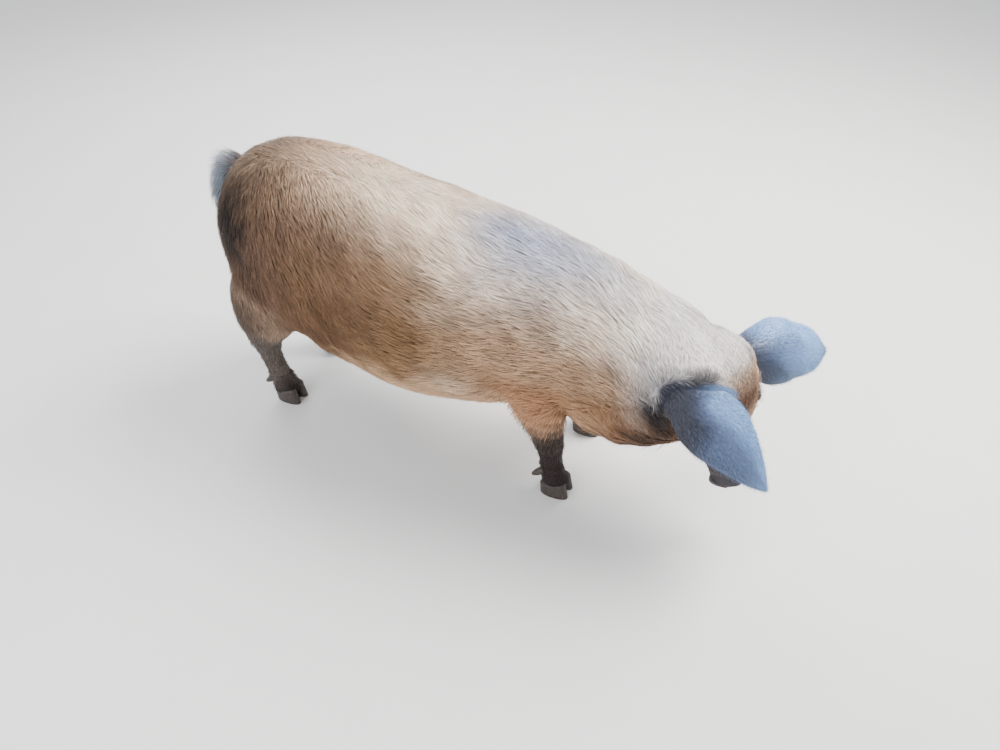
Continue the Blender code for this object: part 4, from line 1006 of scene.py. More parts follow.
def nostril_shape(side):
    """A bore into the snout's disc, oval, narrowing inwards, that slants towards the middle."""
    reach = np.linspace(-NOSTRIL_DEPTH, NOSTRIL_REACH, 9)
    centres = head_point(
        HEAD[-1][0] + reach, side * (NOSTRIL_PLACE[0] - NOSTRIL_SLANT * reach), NOSTRIL_PLACE[1] + 0 * reach
    )
    flare = 0.55 + 0.45 * fade(reach, -NOSTRIL_DEPTH, -0.002)
    wide, high = NOSTRIL_RADII[0] * flare, NOSTRIL_RADII[1] * flare
    return closed_tube(ring_grid(centres, LEFT, BROW, wide, high, high, 2, 28))


def mouth_line(a):
    """Share of the way from the mouth's corner to its front, a down the head, and the line's offset there."""
    share = (a - MOUTH_CORNER[0]) / (MOUTH_FRONT[0] - MOUTH_CORNER[0])
    line = MOUTH_CORNER[1] + share * (MOUTH_FRONT[1] - MOUTH_CORNER[1])
    return share, line - MOUTH_SAG * np.sin(np.pi * np.clip(share, 0, 1))


def folds(place):
    """How far the skin swells, in metres, at places on it: the sum of the rows of swells.

    Ripples are sines of 2 pi times a distance over the length of a wave, some with slow waves added.
    """
    a, b, c = in_head(place)
    x, y, z = place.T
    head = fade(a, -0.01, 0.03)
    share, line = mouth_line(a)
    hole, lift = NOSTRIL_PLACE
    creases = np.sin(2 * np.pi * (a + 0.10 * np.abs(b)) / 0.0125 + 2.2 * waves(place, 0.035, 3))
    measures = {
        "x": x, "z": z, "a": a, "b": b, "c": c, "aside": np.abs(b), "beside": np.abs(y), "head": head,
        "creases": creases * (0.65 + 0.5 * waves(place, 0.03, 15)),
        "disc": fade(a, 0.268, 0.276),
        "left_hole": np.hypot(b - hole, c - lift),
        "right_hole": np.hypot(b + hole, c - lift),
        "lips": fade(share, -0.12, 0.05) * fade(share, 1.1, 1.0) * fade(np.abs(b), 0.095, 0.075),
        "off_lips": c - line,
        "off_corner": np.hypot(a - MOUTH_CORNER[0] + 0.006, c - MOUTH_CORNER[1]),
        "cheek_folds": np.sin(2 * np.pi * (0.75 * a - 0.9 * c + np.where(b > 0, 0.006, -0.006)) / 0.034),
        "elbow": x + 0.25 * (z - 0.42),
        "ham": x - 0.35 * (z - 0.30),
        "neck_rolls": np.sin(2 * np.pi * (x - 0.40 + 0.3 * (z - 0.45)) / 0.062),
        "off_bend": np.linalg.norm(place - NECK_BEND, axis=1),
        "body": (1 - head) * fade(z, 0.16, 0.28),
        "muscle": waves(place, 0.20, 11),
        "fat": waves(place, 0.09, 12),
        "shank": fade(z, 0.26, 0.20),
        "wrinkles": np.sin(2 * np.pi * z / 0.011 + 2 * waves(place, 0.05, 13)),
        "tendons": waves(place, 0.035, 14),
    }
    swell = sum(product(amount, factors, measures) for amount, *factors in SWELLS)
    for name in EARS:
        centre, out, _, up = eye_axes(name)
        apart = place - centre
        far = np.linalg.norm(apart, axis=1)
        measures = {
            "far": far,
            "above": apart @ up,
            "near": fade(far, 0.052, 0.030) * fade(apart @ out, -0.012, 0.0),
            "rings": np.sin(2 * np.pi * (far - 0.015) / 0.0105),
        }
        swell += sum(product(amount, factors, measures) for amount, *factors in EYE_SWELLS)
    return swell


def in_ear(name, place):
    """Shares along an ear and from edge to edge of it, and how far places lie from its shell."""
    root, tip = head_point(*EARS[name][0]), np.array(EARS[name][1])
    span = tip - root
    t = (place - root) @ span / (span @ span)
    middle, wide, out = ear_frame(name, np.clip(t, -EAR_ROOT_DEPTH, 1))
    profile = np.array(EAR)
    half = ear_half(name, t, profile)
    apart = place - middle
    s = dot(apart, wide)[:, 0] / half
    off = np.abs(dot(apart, out)[:, 0] + ear_cup(name, t, profile) * np.clip(s, -1.1, 1.1) ** 2)
    beyond = np.maximum(np.abs(s) - 1, 0) * half + np.maximum(t - 1, 0) * np.linalg.norm(span)
    return t, s, np.hypot(off, beyond)


def from_ear_root(name, place):
    """How far places lie from the bent line on the head that an ear grows from."""
    sign = 1 if name == "left" else -1
    bends = [head_point(along, sign * wide, brow) for along, wide, brow in EAR_ROOT_LINE]
    far = np.full(len(place), 1.0)
    for start, end in zip(bends, bends[1:]):
        span = end - start
        share = np.clip((place - start) @ span / (span @ span), 0, 1)
        far = np.minimum(far, np.linalg.norm(place - start - share[:, None] * span, axis=1))
    return far


def mixed(one, other, share):
    """Rows of vectors moved by shares towards others."""
    share = share[:, None]
    return one * (1 - share) + other * share


def tinted(base, paint, share):
    """A colour moved by a share from 0 to 1 towards a paint."""
    return mixed(base, np.array(paint), np.clip(share, 0, 1))


def painted(colour, rows, measures):
    """A colour with rows of markings laid over it, one after the other."""
    paint = bpy.context.scene.pig_colours
    for name, share, *factors in rows:
        colour = tinted(colour, getattr(paint, name), product(share, factors, measures))
    return colour


def on_leg(place):
    """1 on the free part of a leg, 0 off it: places are set against the ellipse round its centre line."""
    share = np.zeros(len(place))
    for stations in (HIND_LEG, FORE_LEG):
        table = np.array(stations)[::-1]
        read = (np.interp(place[:, 2], table[:, 2], table[:, k]) for k in (0, 1, 3, 4, 5))
        x, y, half, ahead, behind = read
        off_x = place[:, 0] - x
        reach = np.where(off_x > 0, ahead, behind)
        off = np.hypot(off_x / reach, (np.abs(place[:, 1]) + y) / half)
        share = np.maximum(share, fade(off, 1.45, 1.05))
    return share * fade(place[:, 2], 0.45, 0.33)


def on_face(place):
    """1 on the head, 0 behind the plane that parts it from the neck, and 0 on the forelegs below."""
    return fade((place - HEAD_CUT[0]) @ unit(HEAD_CUT[1]), -0.025, 0.025) * fade(place[:, 0], 0.44, 0.50)


def height_share(place):
    """1 on top of the trunk, 0 at its widest, -1 under it: the upward part of the way from its centre."""
    centre, _, _, up = trunk_frame(place[:, 0])
    apart = place - centre
    return dot(apart, up)[:, 0] / np.linalg.norm(apart, axis=1)


def from_spine(high):
    """The angle round the trunk from its top, in radians: the arc cosine of the height share."""
    return np.arccos(np.clip(high, -1, 1))


def ear_markings(colour, name, place, ragged, fleck):
    """A colour with a dark ring round an eye and dark bristles and painted shade round an ear's root laid
    over it, and the ear's slate with painted light and shade.
    """
    t, s, off = in_ear(name, place)
    pale = EAR_PALENESS[name]
    edge = fade(s + 0.12 * fleck, 0.10, 0.65) * fade(t, 0.05, 0.25)
    measures = {
        "t": t, "s": s, "ragged": ragged, "pale": pale, "deep": 1 - 0.4 * pale,
        "eye": from_eye(name, place),
        "root": from_ear_root(name, place),
        "root_dark": EAR_ROOT_DARK[name],
        "light": np.maximum(0.60 * edge, 0.40 * fade(t, 0.75, 1.0)),
        "dusk": t + 0.08 * fleck + 0.3 * s,
        "ragged_t": t + 0.03 * fleck,
    }
    hide = np.tile(np.array(bpy.context.scene.pig_colours.slate), (len(place), 1))
    hide = painted(hide, HIDE_MARKINGS, measures)
    on_ear = fade(off, 0.014, 0.007) * fade(t, -0.16, -0.06)
    return mixed(painted(colour, RING_MARKINGS, measures), hide, on_ear)


def markings(place):
    """The linear colour of the coat at places on the pig, laid down from the widest marking to the smallest.

    High is the height share, mantle is higher ahead, rim is the share of the painted shade along the rear
    edge, and withers, saddle and spine follow the top line. Streaks of tone along the lie are 20 mm wide:
    waves over places drawn together to a third along it.
    """
    paint = bpy.context.scene.pig_colours
    x, y, z = place.T
    a, b, c = in_head(place)
    leg = on_leg(place)
    high = height_share(place) * fade(-x, 0.475, 0.44)
    patch, fleck, dapple = waves(place, 0.20, 21), waves(place, 0.06, 22), waves(place, 0.025, 24)
    ragged = 0.05 * patch + 0.06 * fleck + 0.06 * dapple
    crown = fade(c, -0.07, 0.0) * fade(a, 0.05, 0.0)
    measures = {
        "x": x, "y": y, "z": z, "back": -x, "a": a, "c": c, "aside": np.abs(b),
        "high": high, "low": -high, "ragged": ragged,
        "mantle": high + np.clip(x - 0.03, 0, 0.35),
        "rim": 0.4 + 0.6 * fade(high + 0.2 * ragged, 0.10, 0.45) + 0.4 * fade(-high, 0.15, 0.40),
        "withers": fade(x, 0.08, 0.26) * fade(x, 0.58, 0.50),
        "saddle": from_spine(high) + 0.06 * patch,
        "spine": from_spine(high) + 0.05 * patch,
        "leg": leg, "fore_leg": leg * (x > 0), "hind_leg": leg * (x <= 0),
        "face": fade(a, -0.04, 0.02) * fade(x, 0.50, 0.60),
        "top": np.maximum(fade(high + ragged, 0.25, 0.65), crown),
        "tail": on_tail(place),
    }
    colour = painted(np.tile(np.array(paint.umber_tan), (len(place), 1)), BODY_MARKINGS, measures)
    # Dark hair and the ears' painted shadows in the folds under the ears.
    for down, wide, brow, reach, share in JOWL_FOLDS:
        for middle in head_point(down, np.array([-wide, wide]), brow):
            near = bell(np.linalg.norm(place - middle, axis=1) + 0.01 * fleck, reach)
            colour = tinted(colour, paint.jowl_hair_and_shade, share * near)
    colour = painted(colour, FACE_MARKINGS, measures)
    for name in EARS:
        colour = ear_markings(colour, name, place, ragged, fleck)
    colour = painted(colour, TAIL_MARKINGS, measures)
    along, across = 0.87 * x + 0.50 * z, 0.87 * z - 0.50 * x
    streak = waves(np.stack([0.3 * along, across, y], axis=-1), 0.020, 25) * fade(-x, -0.40, -0.20)
    return colour * (1 + 0.09 * fleck + 0.06 * waves(place, 0.02, 23) + 0.09 * streak)[:, None]


def on_tail(place):
    """1 on the free part of the tail, 0 on the buttocks, by the distance to the line through its stations."""
    share = np.zeros(len(place))
    near = np.nonzero((place[:, 0] < -0.44) & (place[:, 2] > 0.46))[0]
    rows = tail_rows()
    apart = np.linalg.norm(place[near, None] - rows[None, :, :3], axis=2) - rows[:, 3]
    first = apart.argmin(axis=1)
    share[near] = fade(apart.min(axis=1), 0.010, 0.004) * fade(first, 3.0, 6.0)
    return share


def add_attribute(made, name, kind, values):
    """Keeps values on the points of an object's mesh under a name."""
    layer = made.data.attributes.new(name, kind, "POINT")
    layer.data.foreach_set("color" if kind == "FLOAT_COLOR" else "value", values.astype(np.float32).ravel())


def keep_colour(made, colours):
    """Keeps the coat's colour on a mesh's points under the name that the materials read."""
    solid = np.ones((len(colours), 1))
    add_attribute(made, "pelt", "FLOAT_COLOR", np.hstack([np.clip(colours, 0, 1), solid]))


def add(tree, kind, inputs=None, **settings):
    """Adds a node with its settings; inputs are values, or the sockets that feed them."""
    node = tree.nodes.new(kind)
    for name, value in settings.items():
        setattr(node, name, value)
    for name, value in (inputs or {}).items():
        if isinstance(value, bpy.types.NodeSocket):
            tree.links.new(value, node.inputs[name])
        else:
            node.inputs[name].default_value = value
    return node


def new_material(name, **sockets):
    """A material with one Principled shader, whose plain values are set on its own sockets."""
    made = bpy.data.materials.new(name)
    made.use_nodes = True
    tree = made.node_tree
    tree.nodes.clear()
    inputs = {key.replace("_", " "): value for key, value in sockets.items()}
    shader = add(tree, "ShaderNodeBsdfPrincipled", inputs)
    add(tree, "ShaderNodeOutputMaterial", {"Surface": shader.outputs[0]})
    return made, tree, shader


def ramp(tree, share, stops):
    """A colour read between stops, each a place from 0 to 1 and a paint."""
    node = add(tree, "ShaderNodeValToRGB", {"Fac": share})
    elements = node.color_ramp.elements
    for k, (place, paint) in enumerate(stops):
        element = elements[k] if k < len(elements) else elements.new(place)
        element.position = place
        element.color = (*paint, 1)
    return node.outputs["Color"]


def own_place(tree):
    """The place of a surface's point in its object's own directions, in metres."""
    return add(tree, "ShaderNodeTexCoord").outputs["Object"]


def pelt(tree):
    """The coat's colour, as kept on the points."""
    return add(tree, "ShaderNodeAttribute", attribute_name="pelt").outputs["Color"]


def noise(tree, place, scale, detail):
    """A cloudy pattern from 0 to 1, with scale as its waves per metre."""
    inputs = {"Vector": place, "Scale": scale, "Detail": detail}
    return add(tree, "ShaderNodeTexNoise", inputs).outputs["Fac"]


def pores(tree, place, scale):
    """The distance to the nearest of random points, with scale as their number per metre."""
    return add(tree, "ShaderNodeTexVoronoi", {"Vector": place, "Scale": scale}).outputs["Distance"]


def sum_of(tree, value, factor, other):
    """A value times a factor, plus another value."""
    inputs = {0: value, 1: factor, 2: other}
    return add(tree, "ShaderNodeMath", inputs, operation="MULTIPLY_ADD").outputs[0]


def toned(tree, shader, base, pattern, at_least, at_most):
    """Gives the shader a base colour times a tone, which a pattern from 0 to 1 moves between two values."""
    inputs = {"Value": pattern, "To Min": at_least, "To Max": at_most}
    tone = add(tree, "ShaderNodeMapRange", inputs).outputs["Result"]
    colour = add(tree, "ShaderNodeVectorMath", {0: base, 1: tone}, operation="MULTIPLY").outputs["Vector"]
    tree.links.new(colour, shader.inputs["Base Color"])


def dented(tree, shader, *layers, **settings):
    """Dents the shader's surface by layers, the lowest first: pattern, strength, and depth in metres."""
    under = {}
    for pattern, strength, depth in layers:
        inputs = {"Height": pattern, "Strength": strength, "Distance": depth, **under}
        under = {"Normal": add(tree, "ShaderNodeBump", inputs, **settings).outputs["Normal"]}
    tree.links.new(under["Normal"], shader.inputs["Normal"])


def hide_material():
    """Pig hide under hair: living skin, dull and a little uneven, so it takes soft light without gloss.

    Its mottling is some 18 mm across, its pores and small wrinkles lie about 2 mm apart.
    """
    made, tree, shader = new_material("pig hide", Roughness=0.68, Specular_IOR_Level=0.25)
    place = own_place(tree)
    toned(tree, shader, pelt(tree), noise(tree, place, 55.0, 3.0), 0.55, 0.90)
    dented(tree, shader, (pores(tree, place, 480.0), 0.5, 0.0006))
    return made


def ear_material():
    """Ear hide: thin skin over gristle, finely veined, which lets a little light through.

    Its veins lie about 15 mm apart under pores about 1.5 mm apart.
    """
    made, tree, shader = new_material(
        "ear hide", Roughness=0.5, Specular_IOR_Level=0.4, Subsurface_Weight=0.12, Subsurface_Scale=0.004
    )
    place = own_place(tree)
    toned(tree, shader, pelt(tree), noise(tree, place, 90.0, 4.0), 0.60, 1.0)
    veins = (noise(tree, place, 65.0, 2.0), 0.5, 0.0016)
    dented(tree, shader, veins, (pores(tree, place, 650.0), 0.4, 0.0004))
    return made


def snout_material():
    """Snout skin: bare hide kept wet by its glands, so its small cobbles carry tight highlights.

    The cobbles are about 2 mm across, and darker in the lines between them.
    """
    made, tree, shader = new_material(
        "moist snout skin", Roughness=0.55, Specular_IOR_Level=0.35, Coat_Weight=0.06, Coat_Roughness=0.35
    )
    cobbles = pores(tree, own_place(tree), 430.0)
    toned(tree, shader, pelt(tree), cobbles, 1.15, 0.6)
    dented(tree, shader, (cobbles, 0.6, 0.0007), invert=True)
    return made


def horn_material():
    """Hoof horn: keratin grown downwards in rings, dry and scuffed by the ground.

    The growth rings are about 3 mm apart, warped by a slow noise, and the wall's streaks about 1 mm wide.
    """
    paint = bpy.context.scene.pig_colours
    made, tree, shader = new_material("hoof horn", Roughness=0.5, Specular_IOR_Level=0.45)
    place = own_place(tree)
    height = add(tree, "ShaderNodeSeparateXYZ", {"Vector": place}).outputs["Z"]
    warp = noise(tree, place, 40.0, 2.0)
    level = add(tree, "ShaderNodeMath", {0: height, 1: 2100.0}, operation="MULTIPLY").outputs[0]
    rings = add(tree, "ShaderNodeMath", {0: sum_of(tree, warp, 12.0, level)}, operation="SINE").outputs[0]
    stretch = add(tree, "ShaderNodeMapping", {"Vector": place, "Scale": (1.0, 1.0, 0.08)}).outputs["Vector"]
    streaks = noise(tree, stretch, 700.0, 2.0)
    colour = ramp(tree, streaks, [(0.35, paint.horn_dark), (0.70, paint.horn_pale)])
    tree.links.new(colour, shader.inputs["Base Color"])
    dented(tree, shader, (sum_of(tree, rings, 0.12, streaks), 0.5, 0.0006))
    return made


def eye_material():
    """A wet eye: a clear cornea over a dark brown iris, so it shines like glass and looks nearly black.

    The fibres of the iris are about 0.4 mm wide.
    """
    paint = bpy.context.scene.pig_colours
    made, tree, shader = new_material(
        "wet dark eye", Roughness=0.06, Specular_IOR_Level=0.6, Coat_Weight=1.0, Coat_Roughness=0.02
    )
    share = add(tree, "ShaderNodeAttribute", attribute_name="from_pupil").outputs["Fac"]
    fibres = noise(tree, own_place(tree), 1500.0, 2.0)
    pupil, iris = [(0.30, paint.pupil)], [(0.36, paint.iris), (0.62, paint.iris)]
    stops = pupil + iris + [(0.70, paint.iris_rim), (0.95, paint.eye_white)]
    tree.links.new(ramp(tree, sum_of(tree, fibres, 0.10, share), stops), shader.inputs["Base Color"])
    return made


def bristle_material():
    """Pig bristle: straight stiff hair with a waxy cuticle, so it glints softly in streaks along its length.

    Single hairs are about 0.25 mm wide, eight across a tuft of 2 mm.
    """
    made, tree, shader = new_material("pig bristle", Roughness=0.52, Specular_IOR_Level=0.35)
    strand = add(tree, "ShaderNodeUVMap", uv_map="Strand").outputs["UV"]
    lines = add(tree, "ShaderNodeMapping", {"Vector": strand, "Scale": (8.0, 0.9, 1.0)}).outputs["Vector"]
    hairs = noise(tree, lines, 1.0, 2.0)
    toned(tree, shader, pelt(tree), hairs, 0.55, 1.45)
    dented(tree, shader, (hairs, 0.35, 0.0004))
    return made


def floor_material():
    """A matt studio floor: pale painted board with a very faint mottling, so that shadows fall softly."""
    made, tree, shader = new_material("pale studio floor", Roughness=0.9, Specular_IOR_Level=0.1)
    base = tuple(bpy.context.scene.pig_colours.floor)
    toned(tree, shader, base, noise(tree, own_place(tree), 6.0, 4.0), 0.97, 1.03)
    return made


def keep_piece(made, replaced):
    """Lets a finished piece ride on the body and stand for its nodes."""
    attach(made, "root")
    if replaced:
        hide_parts(*replaced)


def flesh_nodes():
    """The frame's nodes that are skin and flesh: all but eyes, hooves and dewclaws."""
    return [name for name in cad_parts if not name.startswith(("eye_", "hoof_", "dewclaw_"))]


def flesh_object():
    """The body without ears: closed lofts fused on a fine grid, smoothed, and swollen and creased."""
    sides = [shape for sign in (1, -1) for shape in (leg_shape(HIND_LEG, sign), leg_shape(FORE_LEG, sign))]
    shapes = [trunk_shape(), jowl_shape(), face_shape(HEAD), face_shape(JAW), tail_shape()] + sides
    made = mesh_object("skin", *joined(shapes))
    fuse = made.modifiers.new("fuse", "REMESH")
    fuse.mode = "VOXEL"
    fuse.voxel_size = bpy.context.scene.pig_sizes.skin_grid
    soften = made.modifiers.new("soften", "SMOOTH")
    soften.factor = 0.5
    soften.iterations = SKIN_SMOOTHING
    apply_modifiers(made)
    places, normals = read_points(made)
    write_points(made, places + folds(places)[:, None] * normals)
    detail = made.vertex_groups.new(name="detail")
    fine = fade(in_head(places)[0], -0.01, 0.03) * fade(places[:, 0], 0.56, 0.62)
    for level in range(DETAIL_LEVELS + 1):
        chosen = np.nonzero(np.round(fine * DETAIL_LEVELS) == level)[0]
        weight = DETAIL_LEAST + (1 - DETAIL_LEAST) * level / DETAIL_LEVELS
        detail.add(chosen.tolist(), weight, "REPLACE")
    thin = made.modifiers.new("thin", "DECIMATE")
    thin.ratio = min(1.0, SKIN_TRIANGLES / (2 * len(made.data.polygons)))
    thin.vertex_group = detail.name
    thin.invert_vertex_group = True
    thin.vertex_group_factor = DETAIL_PULL
    apply_modifiers(made)
    made.vertex_groups.clear()
    return made


def make_skin():
    """One skin with no seam: body, ears and lids, less the eyes' sockets, the nostrils and the mouth."""
    made = flesh_object()
    radius = bpy.context.scene.pig_sizes.eye_radius
    ears = [mesh_object(f"ear_{name}", *ear_shape(name)) for name in EARS]
    lids = [mesh_object(f"lid_{name}", *lid_shape(name)) for name in EARS]
    combine(made, ears + lids, "UNION")
    sockets = []
    for name in EARS:
        centre, out, along, _ = eye_axes(name)
        sockets.append(mesh_object("socket", *ball_shape(centre, out, along, radius + SOCKET_GAP, 24, 32)))
    bores = [mesh_object("nostril", *nostril_shape(side)) for side in (1, -1)]
    combine(made, sockets + bores + [mesh_object("mouth", *mouth_shape())], "DIFFERENCE")
    split = made.modifiers.new("split", "TRIANGULATE")
    split.min_vertices = 4
    apply_modifiers(made)
    return made


def ball_shape(centre, out, along, radius, rows, columns):
    """A ball as rings round the line out of its centre, at radius cos(turn) out and radius sin(turn) wide."""
    turn = np.linspace(0.04, np.pi - 0.04, rows)
    centres = centre + radius * np.cos(turn)[:, None] * out
    reach = radius * np.sin(turn)
    return closed_tube(ring_grid(centres, along, np.cross(out, along), reach, reach, reach, 2, columns))


def claw_shape(foot_x, y):
    """One toe of a hoof: rings from its sole to its slanting top, swelling a little at each growth ring.

    A ring's reach goes from the sole's to the top's; its height is t (top + slope (x - middle)).
    """
    t = np.concatenate([[0.0, 0.03, 0.07], np.linspace(0.12, 0.96, 22), [0.99, 1.0]])
    grown = CLAW_RING * np.sin(2 * np.pi * t * CLAW_RINGS) * fade(t, 0.1, 0.2)
    grown = grown + CLAW_LIP * bell(t - 0.93, 0.05)
    bevel = CLAW_BEVEL * (fade(t, 0.07, 0.0) + fade(t, 0.96, 1.0))
    reach = (1 - t)[:, None] * np.array(CLAW_SOLE) + t[:, None] * np.array(CLAW_TOP)
    reach = (reach + (grown - bevel)[:, None]).T
    centres = np.stack([foot_x + 0 * t, y + 0 * t, 0 * t], axis=-1)
    grid = ring_grid(centres, *LEVEL_AXES, *reach, LEG_SQUARENESS, 40)
    grid[..., 2] = t[:, None] * (HOOF_TOP + HOOF_SLOPE * (grid[..., 0] - foot_x) - CLAW_GAP)
    return closed_tube(grid)


def dewclaw_shape(foot_x, y, out_sign):
    """A blunt horn behind the foot: flattened rings along a line that leans back and down."""
    lean = unit(np.array(DEWCLAW_LEAN) * [1, out_sign, 1])
    start = np.array([foot_x, y, 0]) + np.array(DEWCLAW_PLACE) * [1, out_sign, 1]
    side = unit(np.cross(lean, [0.0, 0.0, 1.0]))
    t = np.concatenate([np.linspace(0, 0.9, 14), [0.95, 0.985, 1.0]])
    rings = 1 + DEWCLAW_RING * np.sin(2 * np.pi * t * DEWCLAW_RINGS)
    radius = np.interp(t, DEWCLAW_SHARES, DEWCLAW_RADII) * rings * (1 - DEWCLAW_BLUNTING * fade(t, 0.93, 1.0))
    centres = start + t[:, None] * DEWCLAW_LENGTH * lean
    flat = radius * DEWCLAW_FLATNESS
    return closed_tube(ring_grid(centres, side, np.cross(lean, side), radius, radius, flat, 2, 28))


def lie(place, out, rank):
    """The way that hair lies: back along the trunk, down legs and tail, up the face, to the ears' tips.

    On the trunk it is cos(slant) back + sin(slant) towards the spine; behind the middle it is turned right
    round, so that it hangs down the ham. The slant grows from shoulder to ham and dies out at the spine.
    """
    x, y, z = place.T
    _, ahead, _, up = trunk_frame(x)
    high = height_share(place)
    back = unit(dot(ahead, out) * out - ahead)
    spine = unit(np.cross(back, out) * np.sign(dot(np.cross(back, out), up)))
    slant = np.radians(np.interp(x, *zip(*LIE_SLANT))) * (1 - bell(from_spine(high), 0.07))
    slant = slant * (0.35 + 0.65 * np.maximum(fade(high, -0.75, -0.05), fade(-x, 0.15, 0.30)))
    way = np.cos(slant)[:, None] * back + np.sin(slant)[:, None] * spine
    way = way * np.where(x + 0.030 * rank < LIE_TURNS, -1, 1)[:, None]
    way = mixed(way, back, fade(from_spine(high) + 0.05 * rank, 0.20, 0.08) * fade(-x, 0.02, 0.10))
    way = mixed(way, np.stack([0 * x, 2.5 * y, -1 + 0 * x], axis=-1), fade(-x, 0.425, 0.470))
    way = mixed(way, -DOWN - FACE_DROOP * BROW, on_face(place))
    way = mixed(way, np.array(LEG_LIE), on_leg(place) * fade(z, 0.40, 0.26))
    for name in EARS:
        t, s, off = in_ear(name, place)
        _, wide, _ = ear_frame(name, np.clip(t, 0, 1))
        tip = unit(np.array(EARS[name][1]) - head_point(*EARS[name][0])) + (0.45 * s)[:, None] * wide
        way = mixed(way, tip, fade(off, 0.020, 0.008) * fade(t, -0.14, -0.03))
    line = tail_rows()[:, :3]
    rear = np.nonzero((x < -0.45) & (z > 0.47))[0]
    apart = np.linalg.norm(place[rear, None] - line[None], axis=2)
    along = unit(np.gradient(line, axis=0))[apart.argmin(axis=1)]
    way[rear] = mixed(way[rear], along, fade(apart.min(axis=1), 0.034, 0.020))
    return unit(way - dot(way, out) * out)


def skin_map(places, normals):
    """Mean place and way out of the skin in each cell of a grid, spread three cells out from it."""
    low = places.min(axis=0) - 5 * MAP_CELL
    shape = np.ceil((places.max(axis=0) - low) / MAP_CELL).astype(int) + 5
    cell = np.ravel_multi_index(((places - low) / MAP_CELL).astype(int).T, shape)
    sums = [np.bincount(cell, weights, shape.prod()) for weights in (None, *places.T, *normals.T)]
    total = np.stack(sums, axis=-1).astype(np.float32).reshape(*shape, 7)
    for _ in range(3):
        beside = sum(np.roll(total, step, axis) for axis in range(3) for step in (1, -1))
        total = np.where(total[..., :1] > 0, total, beside)
    return low, total


def set_height(places, height, skin):
    """Moves places along the skin's way out, in two steps, until each is at its height over the skin."""
    low, total = skin
    for _ in range(2):
        cell = np.clip(((places - low) / MAP_CELL).astype(int), 0, np.array(total.shape[:3]) - 1)
        found = total[tuple(cell.T)]
        known = found[:, :1] > 0
        middle = found[:, 1:4] / np.maximum(found[:, :1], 1)
        out = unit(found[:, 4:7].astype(float))
        lacking = height[:, None] - dot(places - middle, out)
        step = np.clip(lacking, -0.5 * MAP_CELL, 0.5 * MAP_CELL)
        places = places + np.where(known, step, 0) * out
    return places, np.where(known, out, 0)


def scattered(points, triangles, density, chance):
    """Places spread evenly over triangles at a density per square metre, and the triangles that hold them."""
    a, b, c = (points[triangles[:, k]] for k in range(3))
    share = np.cumsum(np.linalg.norm(np.cross(b - a, c - a), axis=1) / 2 * density)
    count = int(share[-1])
    marks = (np.arange(count) + chance.uniform(0, 1, count)) * share[-1] / count
    chosen = np.searchsorted(share, marks)
    u, v = np.sqrt(chance.uniform(0, 1, count))[:, None], chance.uniform(0, 1, count)[:, None]
    return (1 - u) * a[chosen] + u * (1 - v) * b[chosen] + u * v * c[chosen], chosen


def over(plan, rows, measures):
    """A plan of the coat in which other tufts take over by their shares."""
    sizes = bpy.context.scene.pig_sizes
    for kind, measured, *factors in rows:
        hair = getattr(sizes, f"{measured}_hair") / TUFTS[measured][1]
        plan = mixed(plan, np.array(TUFTS[kind]) * [1, hair, 1, 1], product(1.0, factors, measures))
    return plan


def coat_plan(place):
    """Tufts per square metre, and their length, width and height over the skin, at places on it.

    The crest along the withers and the belly grow longer hair, the rump shorter.
    """
    sizes = bpy.context.scene.pig_sizes
    x, _, z = place.T
    high = height_share(place)
    crest = bell(from_spine(high), 0.40) * fade(x, -0.30, 0.10)
    trunk = np.array(TUFTS["trunk"]) * [1, sizes.body_hair, sizes.tuft_width, sizes.coat_depth]
    plan = np.tile(trunk, (len(place), 1))
    plan[:, 1] += CREST_LONGER * crest + BELLY_LONGER * fade(-high, 0.55, 0.95)
    plan[:, 2:] *= (1 + CREST_FULLER * crest)[:, None]
    plan = plan * (1 - fade(-x, 0.30, 0.46)[:, None] * np.array(RUMP_LESS))
    a, _, c = in_head(place)
    plan = over(plan, TUFT_PLAN, {"z": z, "a": a, "c": c, "leg": on_leg(place), "face": on_face(place)})
    for name in EARS:
        t, _, off = in_ear(name, place)
        plan = over(plan, EAR_TUFT_PLAN, {"t": t, "off": off, "eye": from_eye(name, place)})
    plan = over(plan, TAIL_TUFT_PLAN, {"tail": on_tail(place)})
    plan[:, 0] *= sizes.tufts
    return plan


def bare(place):
    """Where no hair grows: snout's disc and nostrils, eyes' sockets, inside the mouth, under the feet."""
    radius = bpy.context.scene.pig_sizes.eye_radius
    x, _, z = place.T
    a, b, c = in_head(place)
    face = on_face(place) > 0.5
    share, line = mouth_line(a)
    lips = 0.004 - 0.0025 * fade(np.abs(b), 0.050, 0.070)
    on_mouth = face & (share > -0.05) & (a < 0.3) & (np.abs(b) < MOUTH_HALF_WIDTH)
    none = (face & (a > BARE_SNOUT_FROM)) | (on_mouth & (np.abs(c - line) < lips))
    for name in EARS:
        none |= from_eye(name, place) < radius + BARE_ROUND_EYE
    return none | (z < HOOF_TOP + HOOF_SLOPE * 0.5 * (x - 0.39 * np.sign(x)) - 0.001)


